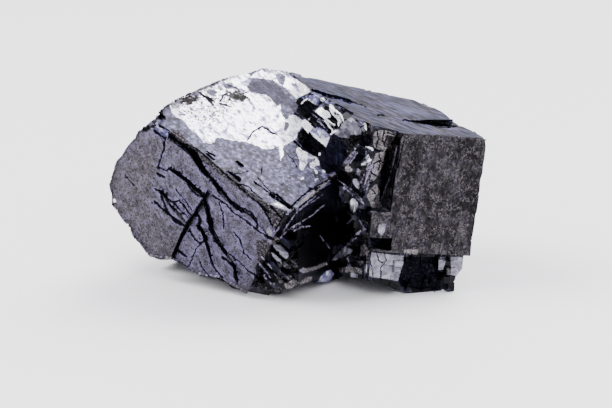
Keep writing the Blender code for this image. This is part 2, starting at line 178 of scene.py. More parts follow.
def cell_noise(points, size, seed):
    """One value for each block of a given size."""
    return hashed(np.floor(points / np.asarray(size)).astype(np.int64), seed)


def smooth_noise(points, size, seed):
    """A value that changes smoothly over a given distance, from 0 to 1."""
    scaled = points / np.asarray(size)
    whole = np.floor(scaled).astype(np.int64)
    part = scaled - whole
    part = part * part * (3.0 - 2.0 * part)
    total = np.zeros(len(points))
    for corner in np.ndindex(2, 2, 2):
        weight = np.prod(np.where(np.array(corner) == 1, part, 1.0 - part), axis=1)
        total += weight * hashed(whole + np.array(corner), seed)
    return total


def rough_noise(points, size, seed, layers=3):
    """Smooth noise in several sizes, each half the one before."""
    total = np.zeros(len(points))
    share = 1.0
    whole = 0.0
    for layer in range(layers):
        total += share * smooth_noise(points, np.asarray(size) / 2 ** layer, seed + layer)
        whole += share
        share *= 0.5
    return total / whole


def smooth_step(value, low, high):
    share = np.clip((value - low) / (high - low), 0.0, 1.0)
    return share * share * (3.0 - 2.0 * share)


def straight_pieces(line):
    """The straight pieces of a line, each as its start and the way to its end."""
    spots = np.array(line, float)
    return zip(spots[:-1], spots[1:] - spots[:-1])


def piece_distance(points, start, way):
    """How far flat points are from one straight piece."""
    along = np.clip((points - start) @ way / (way @ way), 0.0, 1.0)
    return np.linalg.norm(points - start - along[:, None] * way, axis=1)


def line_distance(points, line):
    """How far flat points are from a line of straight pieces."""
    return np.min([piece_distance(points, start, way) for start, way in straight_pieces(line)], axis=0)


def outline_distance(points, outline):
    """How far flat points lie inside a closed outline; less than nothing outside."""
    closed = list(outline) + [outline[0]]
    inside = np.zeros(len(points), bool)
    x, y = points[:, 0], points[:, 1]
    for (x0, y0), (x1, y1) in zip(closed[:-1], closed[1:]):
        if y0 != y1:
            crosses = (y0 > y) != (y1 > y)
            inside ^= crosses & (x < (x1 - x0) * (y - y0) / (y1 - y0) + x0)
    distance = line_distance(points, closed)
    return np.where(inside, distance, -distance)


# Frame of the photograph. The outlines and lines below are in its pixels, right and down
PHOTO_WIDTH = 612.0
PHOTO_HEIGHT = 408.0

# Cracks and slits, each with its width in pixels and its depth in millimetres
CRACKS = [
    ([(170, 135), (178, 142), (189, 149)], 3.2, 0),
    ([(189, 149), (198, 158), (200.5, 165.5), (204, 172)], 5.2, 0.3),
    ([(204, 172), (214, 182), (220.5, 189)], 4, 0),
    ([(220.5, 189), (225.5, 195.5), (230.5, 200.5)], 2.6, 0),
    ([(230.5, 200.5), (240, 207), (250.5, 212), (255.5, 218), (258, 227)], 1.3, 0.3),
    ([(230, 201), (234, 206), (242, 212)], 2.8, 0.3),
    ([(169, 169), (178, 174), (185.5, 179)], 2.4, 0),
    ([(185.5, 179), (192, 185), (198, 190.5), (204, 197)], 3.8, 0),
    ([(155.5, 189), (162, 193), (167, 198), (172, 202), (179, 200.5), (184, 205.5), (189, 213),
      (192, 216)], 1.5, 0.4),
    ([(173, 202), (180.5, 210.5), (188, 217)], 0.9, 0.2),
    ([(155, 202), (164, 210.5), (173, 218)], 2, 0.5),
    ([(173, 218), (180.5, 223.5), (186, 227)], 3.6, 0.5),
    ([(161, 195), (164, 203), (168, 213)], 1.8, 0.4),
    ([(208, 191), (203, 199), (195.5, 210.5), (189, 220.5)], 1.8, 0.3),
    ([(189, 220.5), (184, 232), (178, 245.5), (172.5, 258)], 2.6, 0.4),
    ([(196.5, 213), (200, 219), (198.6, 227)], 3.2, 0.5),
    ([(198.6, 226), (203, 233), (206.5, 238.5)], 3.8, 0.5),
    ([(205.5, 239), (209, 249), (210.5, 258), (214, 267), (222, 277)], 1.8, 0.4),
    ([(205.5, 203), (209, 213), (208, 222), (212, 232), (215.5, 240.5), (222, 248), (226, 251.5)], 3, 0.5),
    ([(223, 257), (229, 263), (235.5, 267), (234, 274), (237, 281)], 2.6, 0.5),
    ([(213, 195.5), (225.5, 204), (234, 213), (245.5, 220.5), (258, 230.5), (266, 236)], 1.2, 0.3),
    ([(266, 236), (273, 239)], 3, 0.3),
    ([(219, 202), (223, 213), (224, 228)], 0.8, 0.2),
    ([(234, 232), (240.5, 240.5), (244, 253), (250.5, 259)], 1.1, 0.3),
    ([(189, 229), (194, 238), (198, 242)], 1.3, 0.3),
    ([(175.5, 189), (180.5, 195.5), (187, 203), (192, 210.5)], 0.9, 0.2),
    ([(204, 240.5), (197, 247), (192, 259), (188, 267)], 1, 0.2),
    ([(178, 250), (186, 256)], 2.2, 0.3),
    ([(200.5, 262), (202, 268), (210.5, 277)], 0.9, 0.2),
    ([(164, 142), (164, 149), (160, 160), (158, 168)], 1.6, 0.3),
    ([(159, 167.5), (166, 171)], 1, 0.2),
    ([(157.5, 174), (164, 177)], 2.2, 0.3),
    ([(187, 184), (193, 192), (199, 197)], 1.2, 0.3),
    ([(226, 251.5), (232, 256), (240, 262.5), (248, 270.5), (255, 275.5)], 1, 0.2),
    ([(254, 274.5), (259, 278.5), (264, 282)], 2.3, 0.4),
    ([(126, 176), (130, 181), (134, 185)], 0.8, 0.2),
    ([(187, 144), (197, 149), (205, 156), (214, 164), (224, 173), (233, 181), (242, 189), (252, 198),
      (262, 206), (270, 213)], 1.2, 0.35),
    ([(240, 184), (248, 186), (255, 194), (262, 199)], 0.9, 0.3),
    ([(232, 173), (240, 179)], 1.7, 0.4),
    ([(207, 152), (215, 156)], 1.5, 0.3),
    ([(237, 162), (242, 165)], 2.4, 0),
    ([(258, 178), (263, 184), (271, 192), (277, 196)], 0.8, 0.2),
    ([(277, 195), (281, 199), (291, 208)], 2.8, 0),
    ([(154.5, 131), (165, 138.5)], 2.2, 0.3),
    ([(160, 126), (169, 131)], 1, 0.2),
    ([(271, 206), (276, 212), (281, 218)], 1.6, 0.3),
    ([(257, 201), (263, 208), (268, 216), (272, 226)], 1.4, 0.3),
    ([(285, 213), (281, 220), (276, 230)], 1, 0.2),
    ([(200.5, 93), (205, 97), (209, 100.5), (213.5, 105)], 1.9, 0),
    ([(208, 97), (214, 101.5)], 1.4, 0),
    ([(248, 139.5), (253, 131.5), (258, 128.8), (262, 126.3), (267, 129), (272, 133), (277, 134.5)], 1.2, 0),
    ([(220.5, 101), (223.5, 95), (228.5, 92.6)], 1.2, 0.2),
    ([(220, 103.5), (225, 105), (230.5, 106.5)], 1.4, 0.2),
    ([(248, 171), (242, 173), (235, 174)], 0.6, 0.2),
    ([(288, 155), (293, 160), (297, 167)], 0.5, 0.2),
    ([(262, 168), (261, 174)], 0.8, 0.2),
    ([(294, 141), (299, 146), (302, 148)], 1.3, 0.2),
    ([(309, 121), (315, 127)], 1.5, 0.2),
    ([(310, 188), (315, 190), (319, 187)], 1.4, 0.2),
    ([(292, 206), (300, 198), (307, 192), (318, 185.5), (328, 180), (341, 173)], 1.4, 0.2),
    ([(299, 208), (306, 202), (312, 197.5), (326, 187.5), (336, 181)], 1.5, 0.3),
    ([(330, 178), (333, 181.5)], 2.4, 0.3),
    ([(313, 90), (320, 92.5), (327, 95), (336, 96.8), (344, 98.8), (350, 101)], 2.6, 1.3),
    ([(350, 101), (358, 104), (366, 107)], 0.9, 0.2),
    ([(336, 104), (345, 109), (352, 113)], 1.6, 0.8),
    ([(403, 120), (420, 121.5), (438, 124), (456, 126.5)], 1.4, 0.3),
    ([(378, 114.8), (384, 115.3)], 1.2, 0.2),
    ([(374, 149.5), (380, 151), (387, 151.5)], 1.4, 0.3),
    ([(371, 172), (376, 176)], 1.2, 0.2),
    ([(377, 131), (378.5, 139), (376, 147)], 0.8, 0.2),
    ([(384, 131.5), (382.5, 139), (385, 146)], 0.7, 0.2),
    ([(388, 133), (394, 134.5)], 0.9, 0.2),
    ([(379, 155), (381, 162), (378, 170)], 0.7, 0.2),
    ([(374, 163), (379, 161), (384, 163)], 0.8, 0.2),
    ([(372, 190), (376, 194), (375, 203)], 0.7, 0.2),
    ([(367, 209), (374, 211), (380, 211)], 1.6, 0.3),
    ([(404, 141), (401, 154), (397, 168), (393, 182)], 0.9, 0.2),
    ([(377, 253), (379, 261), (383, 263)], 0.8, 0.2),
    ([(384, 252), (386, 260), (381, 268), (381, 280)], 0.7, 0.2),
    ([(371, 262), (374, 281)], 0.5, 0.2)]

# Thin edges and strokes that catch the light, each with its width in pixels
STROKES = [
    ([(281, 234), (288, 224), (296, 213), (306, 205), (315, 200.5), (322, 195)], 0.5),
    ([(278, 240), (287.5, 230.5), (295, 225.5), (303, 221), (312.5, 215), (318, 210), (323.5, 205.5)], 0.8),
    ([(292, 232), (297, 229), (301.5, 226.7), (309.5, 226.2)], 1),
    ([(344, 188), (350, 192.5), (358, 199), (363, 203)], 1),
    ([(351, 189), (357, 195), (361, 199)], 0.9),
    ([(338, 180), (345, 185), (352, 190)], 0.6),
    ([(320, 236), (326, 243), (329, 247.5)], 0.6),
    ([(351, 241), (358, 233), (362.5, 230)], 1.6),
    ([(348, 223), (353, 218), (356, 214)], 1.2),
    ([(345, 247), (352, 241), (357, 237)], 0.8),
    ([(347, 258), (349, 262)], 0.8),
    ([(359, 219), (362, 225), (365, 229)], 0.8),
    ([(318, 121), (322, 124.5), (327, 130)], 0.7),
    ([(313, 114.5), (318, 118.5)], 0.7),
    ([(320, 119), (325, 121.5)], 0.7),
    ([(345, 162), (349, 157), (354, 151.5)], 1.5),
    ([(348, 165), (353, 159), (357, 153)], 0.8),
    ([(364, 186), (369, 172), (374, 160)], 0.7),
    ([(367, 189), (372, 176), (376, 166)], 0.7),
    ([(361, 182), (366, 170), (370, 161)], 0.6),
    ([(378, 207), (384, 193), (389, 178)], 0.7),
    ([(391, 172), (394, 160), (397, 146)], 0.6),
    ([(322, 187), (331, 179), (339, 174)], 0.9),
    ([(297, 209), (306, 201), (318, 193)], 0.8),
    ([(264, 276), (268, 281), (272, 284)], 0.8),
    ([(259, 263), (265, 270), (270, 277)], 0.8),
    ([(262, 257), (270, 266), (276, 275)], 0.8)]

# Short bright strokes where edges of clean cleavage mirror the lamp
GLINTS = [
    ([(331.5, 112), (336, 117), (340, 121.5)], 1.3),
    ([(336, 110.5), (341, 115.5), (343, 120)], 1.3),
    ([(337, 117), (339, 120), (338.5, 125)], 1.2),
    ([(323, 117.5), (329, 121), (334, 125)], 0.7),
    ([(325, 121.5), (330, 127), (333, 131)], 0.8),
    ([(309, 99.5), (313, 102.5)], 1),
    ([(302, 103), (304, 100.5), (307, 99)], 0.9),
    ([(362, 164.5), (366, 162.5), (370, 160)], 1.6),
    ([(367, 147), (370, 148), (373.5, 149.5)], 1.8),
    ([(366.5, 158), (368, 156)], 1.2),
    ([(365, 124), (366, 129)], 1.4),
    ([(331, 134), (336, 131)], 0.8)]

# Clean cleavage that mirrors the lamp: the large patch on the top, its spots, and facets of the broken zones
LIT = [
    [(169, 103), (172, 112), (176, 117), (182, 119), (186, 123), (191, 130), (197, 133), (200, 138),
     (204, 142), (210, 144), (214, 142), (215, 138), (222, 137.5), (230, 140), (241, 141), (249, 142.5),
     (256, 145.5), (261, 147), (264, 149), (270, 149), (275, 147), (281, 145.5), (285, 145), (290, 142),
     (294, 140), (297, 137), (297, 133), (301, 127), (303, 122), (299, 117), (294, 115), (289.5, 116),
     (288, 119.5), (284.5, 119.5), (281.5, 113), (280.5, 105), (276.5, 106.5), (273, 101.5), (270, 97),
     (262, 94.5), (250, 92), (247, 87), (241, 82), (247, 80), (250, 74), (240, 74.5), (230, 75.5),
     (222, 79), (214, 82), (205, 84), (200, 88), (190, 95), (180, 98)],
    [(255, 73), (250, 78), (262, 78), (273, 80), (280, 85), (286, 88), (291, 93), (296, 98), (300, 97),
     (306, 94), (311, 91), (305, 85), (297, 80), (290, 76), (287, 72), (280, 70), (270, 69), (262, 70)],
    [(296, 149), (300, 147), (302, 151), (307, 156), (307, 163), (303, 170), (300, 170), (300, 162),
     (298, 156)],
    [(302, 150.5), (307, 152.5), (311, 155.5), (316, 157), (313, 159), (306, 157.5)],
    [(310, 163), (314.5, 161), (316, 158), (319, 161), (319, 165), (316, 165.5), (312, 168.5),
     (310, 167)],
    [(314, 168.5), (316.5, 170), (318, 173), (316, 173.5)],
    [(314, 179), (317.5, 179), (316, 181)],
    [(322, 169.5), (324.5, 170), (324.5, 173), (322.5, 172)],
    [(318.7, 152.5), (320.5, 153), (320.5, 155.5), (319, 155)],
    [(301, 177.5), (304, 177), (304, 179), (301, 179.5)],
    [(279, 145), (283, 145), (283, 156), (281, 160), (280, 156)],
    [(302, 120.5), (305, 119.5), (309, 122), (314, 126.5), (312, 129), (308, 133.5), (305, 129),
     (302, 126)],
    [(310.5, 132), (314, 133.5), (318, 136.5), (321, 139.5), (317, 131), (319, 130.5), (322, 134),
     (324.5, 138.5), (330, 136.5), (326, 147), (320, 142), (314, 136.5)],
    [(316, 111), (321, 107), (325, 110), (329, 112), (331.5, 117), (326, 118.5), (321, 116.5),
     (318, 113.5)],
    [(330, 103.5), (333, 106), (335, 109), (334, 113), (331, 112), (329, 108.5)],
    [(319.5, 98), (323, 97.5), (326, 100), (323, 101.5), (320, 100.5)],
    [(350, 200), (354, 198), (358, 203), (357, 208), (354, 212), (352, 210)],
    [(112.5, 199), (115, 198.5), (116, 202), (113.5, 203)],
    [(274, 204), (277, 202.5), (284, 206), (281, 207)]]

# Lavender grey cleavage, between bright and tarnished
HAZY = [
    [(310, 132), (315, 127), (320, 128), (325, 130.5), (330.5, 137), (326, 147), (320, 142), (313, 136.5)],
    [(309, 95.5), (316, 95), (319, 99), (319.5, 104), (315, 104.5), (311, 100.5), (307, 98.5)],
    [(155, 125), (158, 125), (170, 132), (167, 139.5), (164, 137), (155, 130.5)],
    [(317, 283), (321, 276), (326, 271), (330.5, 269.5), (334.5, 274), (331, 279), (326, 283.5)],
    [(238, 81), (246, 77), (252, 79), (247, 86), (241, 88)]]

# Tarnish that reaches into them
TARNISHED = [
    [(281, 103), (281, 112), (283, 117), (286, 120), (289, 117), (289, 112), (287, 108), (286, 103)],
    [(285, 121), (284, 128), (283, 132), (286, 132), (289, 127), (289, 123)],
    [(275, 74), (279, 73), (285, 75), (286, 80), (283, 86), (279, 83), (276, 79)],
    [(246, 81), (258, 80), (272, 81), (280, 86), (288, 93), (292, 99), (284, 103), (276, 100),
     (268, 95), (256, 92), (248, 90)],
    [(222, 84), (229, 83), (236, 88), (226, 89)],
    [(205, 91), (213, 89), (218, 92), (212, 97)]]

# Brown stains, and the part of the bright patch that is speckled with dirt
STAINS = [
    [(228, 91), (235, 92), (240, 88.5), (245, 94), (250, 99), (243, 101), (235, 100.5), (228, 99)],
    [(180, 97.5), (190, 95.5), (197, 97), (196, 103), (188, 105), (181, 102)],
    [(228, 83), (233, 85), (236, 88.5), (230, 88)],
    [(170, 100), (175, 100), (175, 103), (171, 103)],
    [(171, 130), (178, 130.5), (188, 143), (183, 145), (175, 138)]]
DIRTY = [
    [(168, 104), (185, 96), (200, 89), (225, 80), (240, 84), (236, 104), (220, 124), (208, 132),
     (194, 128), (180, 116)]]

# Grey bands on the bright top, along its far edges where it curves over: darker there
GREY_BANDS = [
    [(246, 85), (252, 81), (262, 79), (272, 81), (280, 87), (286, 92), (291, 97), (296, 104), (300, 112),
     (299, 118), (294, 115), (290, 107), (286, 104), (281, 103), (275, 107), (270, 100), (265, 96),
     (256, 95), (249, 92)],
    [(164, 108), (180, 95), (200, 85), (222, 76), (240, 72), (240, 77), (222, 82), (206, 90), (196, 98),
     (184, 102), (172, 110)],
    [(262, 68), (286, 70), (290, 74), (280, 73), (262, 72)]]

# Brown dusty part of the cracked face, and its smooth lobe at the bottom, which lies in shadow: its dark
# colour is painted shade
DUSTY = [
    [(105, 185), (112, 165), (135, 140), (162, 141), (160, 158), (157, 172), (148, 190), (152, 203),
     (170, 219), (184, 228), (178, 244), (170, 262), (140, 262), (105, 225)]]
SHADED_LOBE = [
    [(229, 283), (240, 285), (252, 286), (262, 289), (265, 292), (258, 300), (250, 302), (243, 297),
     (235, 290)]]

# Pale facets, tarnished a little, painted light where they catch the lamp
PALE_FACETS = [
    [(371.5, 252.5), (404, 256), (403, 264), (400.5, 272), (398, 281), (369, 276.5)],
    [(451, 257), (463, 257), (462, 268), (457, 277), (451, 275)],
    [(438.5, 257), (446, 257), (446, 261), (443, 269.5), (438.5, 270)],
    [(349, 202), (352, 198), (357, 202), (359, 207), (355, 214), (351, 212)],
    [(342.5, 248), (347, 247), (353, 250), (351, 253), (345, 256), (335, 260.5), (331, 260.5),
     (336, 255)],
    [(350, 272.5), (358, 274), (358, 278), (351, 278)],
    [(270, 251), (273.5, 252.5), (281, 260), (283, 267), (279.5, 267), (275, 260)],
    [(270, 204), (276, 201), (281, 203), (291, 209.5), (287, 210.5), (278, 208)],
    [(272, 244.5), (278, 243), (283, 247.5), (288, 252.5), (289, 256), (286, 259), (279.5, 254)],
    [(352, 180), (356, 177), (360, 186), (359, 190), (355, 186)],
    [(364, 265), (367, 264), (367, 272.5), (364.5, 275)],
    [(379, 225), (386, 223), (385, 231), (382, 235.5), (378, 232)],
    [(268, 227), (272, 232), (271, 238), (266, 233)],
    [(357, 168), (361, 170), (360, 176), (356, 174)],
    [(299, 270.5), (303, 267.5), (307, 269), (303, 273)],
    [(334, 134), (339, 130.5), (342, 122.5), (346.5, 120.3), (351, 117.3), (355, 120.5), (359, 126),
     (361, 130.5), (361, 134.5), (355, 135.5), (352, 134.5), (346, 138), (341, 137.5)]]

# Facets between pale and dark
GREY_FACETS = [
    [(373, 138), (374, 132), (380, 130), (388, 131), (396, 134), (393, 140), (388, 148), (386, 152),
     (384, 158), (383, 165), (380, 170), (377, 177), (374, 181), (371, 180), (372, 173), (374, 166),
     (374, 157), (376, 153), (383, 152), (375, 148), (373, 144)],
    [(367, 196), (371, 188), (376, 184), (380, 190), (379, 200), (376, 208), (371, 207), (370, 202)],
    [(404, 249.5), (418.5, 249.5), (418, 254.5), (404, 254)],
    [(345, 166), (350, 166), (353, 170), (349, 173), (345, 170)],
    [(299, 271), (308, 268), (316, 266), (325, 262), (328, 264), (322, 267.5), (312, 271), (303, 273.5)],
    [(301, 281), (306, 277), (313, 276.5), (311, 281), (306, 284), (300, 285)],
    [(284, 284), (294, 279), (300, 283), (292, 288), (286, 289)],
    [(302, 206), (310, 199), (318, 195), (320, 191), (315, 189), (306, 197), (299, 203)],
    [(319, 190), (327, 182.5), (337, 174.5), (335, 173), (325, 180), (317, 187)],
    [(338, 268), (350, 266), (362, 269), (362, 274), (350, 272), (340, 273)],
    [(270, 240), (276, 236), (280, 240), (276, 244), (271, 245)],
    [(360, 246), (366, 244), (369, 252), (363, 257)]]

# Rough brown patches between the facets
BROWN_PATCHES = [
    [(340, 138), (346, 138), (352, 135), (361, 135), (361, 141), (356, 146), (350, 150), (346, 146),
     (343, 141)],
    [(170, 131.5), (177, 130.5), (188, 141), (200, 151), (213, 161), (226, 172), (239, 183), (252, 193),
     (268, 205), (268, 211), (262, 207), (250, 198.5), (236, 187.5), (222, 176), (208, 165.5),
     (196, 156.5), (184, 146.5)],
    [(346, 150), (352, 151), (354, 155), (348, 160), (344, 165), (345, 158)],
    [(361, 172), (371, 160), (372, 175), (366, 190), (362, 185)],
    [(362, 121), (370, 121), (372, 130), (370, 136), (363, 132)],
    [(258, 199), (270, 203), (285, 213), (281, 222), (276, 230), (270, 222), (262, 210)],
    [(256, 240), (266, 240), (272, 246), (268, 258), (258, 262)],
    [(284, 262), (294, 258), (298, 266), (290, 280), (280, 284), (276, 276)],
    [(355, 255), (368, 252), (370, 262), (360, 266)],
    [(255, 277), (262, 284), (270, 290), (279, 287), (286, 290), (278, 295), (266, 295), (257, 288)]]

# Facets that mirror the dark room: black, and with a breath of blue
BLACK_FACETS = [
    [(299.5, 107), (300, 103), (304, 101), (310, 101), (312, 102), (315, 105), (319.5, 106), (316, 110),
     (314, 113), (311, 116.5), (309, 118.5), (304, 116), (301, 112)],
    [(310, 119), (314, 113), (316, 112), (320, 116), (326, 119), (331, 118), (329, 109), (322, 106.5),
     (325, 104), (333, 103.5), (341, 110), (343, 121), (338, 127.5), (334, 130), (331, 134), (326, 131),
     (321, 127), (315, 123)],
    [(297, 137), (298, 133), (301, 129), (303, 127), (305, 129), (307, 134), (310, 134.5), (316, 139),
     (322, 143), (326, 147), (320, 152), (319, 158), (314, 156), (308, 152), (303, 149), (300, 143)],
    [(342, 112), (350, 113), (352.5, 115), (349, 118.5), (345, 119.5), (342, 116)],
    [(398, 131), (404, 134), (401, 140), (400, 150), (399, 160), (394, 165), (391, 178), (385, 190),
     (381, 203), (378, 210), (376, 208), (379, 195), (380, 187), (382, 180), (380, 172), (384, 165),
     (386, 158), (388, 150), (392, 142)],
    [(329, 183), (336, 172), (341, 170), (347, 173), (351, 181), (358, 190), (365, 195), (362, 200),
     (354, 196), (344, 188), (337, 184)],
    [(352, 152), (360, 146), (366, 150), (365, 158), (355, 163), (350, 160)],
    [(362, 136), (371, 134), (372, 144), (366, 147), (361, 144)],
    [(371, 238), (391.5, 238.5), (391.5, 250.5), (381, 249.5), (371, 246)],
    [(403.5, 256.5), (438, 257), (442, 276), (440, 290), (420, 289), (402, 287), (398.5, 281.5)],
    [(255, 268), (261, 256), (267, 248), (275, 243), (290, 256), (290, 264), (285, 274), (277, 283),
     (264, 280), (257, 275)],
    [(330, 262), (345, 257), (350, 262), (343, 269), (333, 271.5)],
    [(357, 262), (363.5, 262), (362, 268), (356, 268)],
    [(158, 118), (161, 110), (163, 108), (163, 115), (161, 120)],
    [(150, 119), (157, 121), (155, 124), (151, 122)],
    [(142, 128), (147, 125), (151, 128), (147, 132), (143, 131)],
    [(283, 222), (298, 210), (312, 205), (323, 204), (334, 214), (345, 212), (349, 222), (345, 238),
     (335, 245), (322, 262), (309, 268), (299, 275), (292, 270), (290, 258), (284, 248), (277, 242),
     (274, 238)]]
NAVY_FACETS = [
    [(326, 147), (330, 137.5), (333, 134), (338, 136.5), (343, 140.5), (346, 147), (347, 155),
     (345, 162), (340, 168), (334, 172), (328, 174), (322, 170), (320, 164), (318, 158), (320, 152)],
    [(286, 224), (303, 208), (315, 204), (320, 200), (305, 214), (292, 222)],
    [(322, 204), (334, 192), (344, 198), (345, 210), (334, 214), (324, 212)],
    [(277, 238), (284, 233), (289, 238), (290, 250), (287, 252), (282, 246)],
    [(264, 257), (267, 255.5), (275, 264), (280, 271), (277, 272), (270, 264.5)],
    [(258, 265), (260.5, 262), (266, 267.5), (270, 274), (266.5, 275), (261, 269.5)],
    [(284, 268), (288, 266), (290, 272), (285, 277), (281, 276)]]

# Soft darker parts of the weathered front
SHADES = [
    [(408, 141), (422, 139), (424, 150), (418, 165), (412, 182), (406, 198), (399, 196), (404, 172),
     (408, 155)],
    [(452, 140), (470, 137), (484, 143), (483, 164), (474, 166), (466, 155), (455, 150)],
    [(440, 176), (452, 178), (450, 196), (444, 216), (436, 214), (437, 194)],
    [(462, 168), (482, 172), (480, 200), (478, 222), (468, 218), (463, 190)],
    [(424, 226), (440, 226), (440, 244), (426, 246)]]

# Chords of the specimen's outline; what stands out beyond them is taken off
TRIMS = [
    [(298, 73.5), (322, 80), (345, 85.5), (372, 90.5), (405, 97)],
    [(478, 134.2), (482.5, 136.8), (485, 140), (485.8, 146)]]


def camera():
    """Looks at the specimen as the photograph does."""
    toward = Vector(-FORWARD)
    view = bpy.data.objects.new("camera", bpy.data.cameras.new("camera"))
    view.data.lens = LENS
    view.data.sensor_width = SENSOR
    view.data.clip_start = NEAREST_SEEN
    view.data.clip_end = FARTHEST_SEEN
    view.location = (Vector(CAMERA_TARGET) + toward * CAMERA_DISTANCE) * MM
    view.rotation_euler = (-toward).to_track_quat("-Z", "Y").to_euler()
    bpy.context.scene.collection.objects.link(view)
    bpy.context.scene.camera = view


def photo_places(places):
    """Where points appear in the photograph, in its pixels."""
    seen = places - EYE
    scale = LENS / SENSOR * PHOTO_WIDTH / (seen @ FORWARD)
    across = PHOTO_WIDTH / 2.0 + scale * seen[:, 0]
    down = PHOTO_HEIGHT / 2.0 - scale * (seen @ UP)
    return np.stack((across, down), axis=1)


def remade(mesh, name, kind, settings, hidden=None):
    """A mesh as one modifier makes it, with its hidden points in a group of that name."""
    item = bpy.data.objects.new(name, mesh)
    bpy.context.scene.collection.objects.link(item)
    if hidden is not None:
        item.vertex_groups.new(name="hidden").add(np.nonzero(hidden)[0].tolist(), 1.0, "REPLACE")
    step = item.modifiers.new(name, kind)
    for key, value in settings.items():
        setattr(step, key, value)
    bpy.context.view_layer.update()
    made = bpy.data.meshes.new_from_object(item.evaluated_get(bpy.context.evaluated_depsgraph_get()))
    bpy.data.objects.remove(item, do_unlink=True)
    return made


def fine_mesh():
    """A copy of the solid, covered with small even faces."""
    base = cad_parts[NODE].data.copy()
    work = bmesh.new()
    work.from_mesh(base)
    bmesh.ops.remove_doubles(work, verts=work.verts, dist=WELD_DISTANCE)
    work.to_mesh(base)
    work.free()
    return remade(base, "cover", "REMESH", {"mode": "SHARP", "octree_depth": CELL_DEPTH, "scale": CELL_SCALE})


def vectors(collection, name):
    """A vector of each of a mesh's points or faces, as rows."""
    flat = np.empty(len(collection) * 3, np.float32)
    collection.foreach_get(name, flat)
    return flat.reshape(-1, 3).astype(float)


def left_places(places):
    return (places / MM - LEFT_CORNER) @ LEFT.T


def right_places(places):
    return (places / MM - RIGHT_CORNER) @ RIGHT.T


def plane_offsets(places):
    """For each flat face of the crystals, how far points lie in front of it, and the way that it faces."""
    slope = unit(TOP_SLOPE)
    left = left_places(places)
    right = right_places(places)
    return {
        "bright": (-left[:, 2], -LEFT[2]),
        "cracked": (-left[:, 1], -LEFT[1]),
        "dark": ((places / MM - LEFT_CORNER) @ DARK_FACING, DARK_FACING),
        "front": (-right[:, 1], -RIGHT[1]),
        "slope": ((places / MM - RIGHT_CORNER) @ slope, slope)}


def lying_on(places, facings, reach, least):
    """For each flat face of the crystals, which points lie on it."""
    return {
        name: (np.abs(offset) < reach) & (facings @ way > least)
        for name, (offset, way) in plane_offsets(places).items()}


def groove_depths(seen, wander):
    """Depth in millimetres of the cracks that are wide enough to be modelled."""
    depth = np.zeros(len(seen))
    for line, width, deep in CRACKS:
        if width >= LEAST_GROOVE:
            distance = line_distance(seen, line) + wander
            wall = smooth_step(distance, width * GROOVE_FLOOR, width * GROOVE_START)
            depth = np.maximum(depth, deep * (1.0 - wall))
    return depth


def nearest_line(seen, lines):
    """For each point, in pixels: how far to which side its nearest line is, how far its edge, its width."""
    side = np.full(len(seen), FAR / PIXEL)
    edge = np.full(len(seen), FAR / PIXEL)
    width = np.zeros(len(seen))
    for line, line_width in lines:
        for start, way in straight_pieces(line):
            away = piece_distance(seen, start, way)
            turned = (seen[:, 0] - start[0]) * way[1] - (seen[:, 1] - start[1]) * way[0]
            nearer = away - line_width / 2.0 < edge
            side[nearer] = (np.sign(turned) * away)[nearer]
            edge[nearer] = away[nearer] - line_width / 2.0
            width[nearer] = line_width
    return side, edge, width


def slope_grain(right):
    """Places on the sloping top along its streaks, across them, and up."""
    across = (-STREAK_WAY[1], STREAK_WAY[0])
    return np.stack((right[:, :2] @ STREAK_WAY, right[:, :2] @ across, right[:, 2]), axis=1)


def levels(places):
    """A slowly changing value for each point, whose whole numbers are the steps of the stepped cleavage.

    Each face has its number of levels, the size in mm of its terraces each way, and layers of detail.
    """
    left = left_places(places)
    right = right_places(places)
    lean, rise = PLATE_LEAN
    plates = np.stack(
        (left[:, 0] * lean + left[:, 2] * rise, left[:, 1], left[:, 2] * lean - left[:, 0] * rise), axis=1)
    value = {
        "bright": 9.0 * rough_noise(left, (7.0, 5.0, 9.0), SEED + 30, 4),
        "cracked": 7.0 * rough_noise(plates, (6.0, 20.0, 14.0), SEED + 31, 4),
        "dark": 4.0 * rough_noise(left, (9.0, 14.0, 9.0), SEED + 32, 3),
        "front": 6.0 * rough_noise(right, (3.5, 9.0, 6.0), SEED + 33, 4),
        "slope": 7.0 * rough_noise(slope_grain(right), (24.0, 5.0, 9.0), SEED + 34, 4)}
    chosen = 8.0 * rough_noise(left, 5.0, SEED + 35, 4)
    nearest = np.full(len(places), LEVEL_REACH)
    for name, (offset, way) in plane_offsets(places).items():
        chosen = np.where(np.abs(offset) < nearest, value[name], chosen)
        nearest = np.minimum(nearest, np.abs(offset))
    return chosen


def stepped(value):
    """Whole steps with short slopes between them."""
    whole = np.floor(value)
    return whole + smooth_step(value - whole, 0.0, RISER_SHARE)


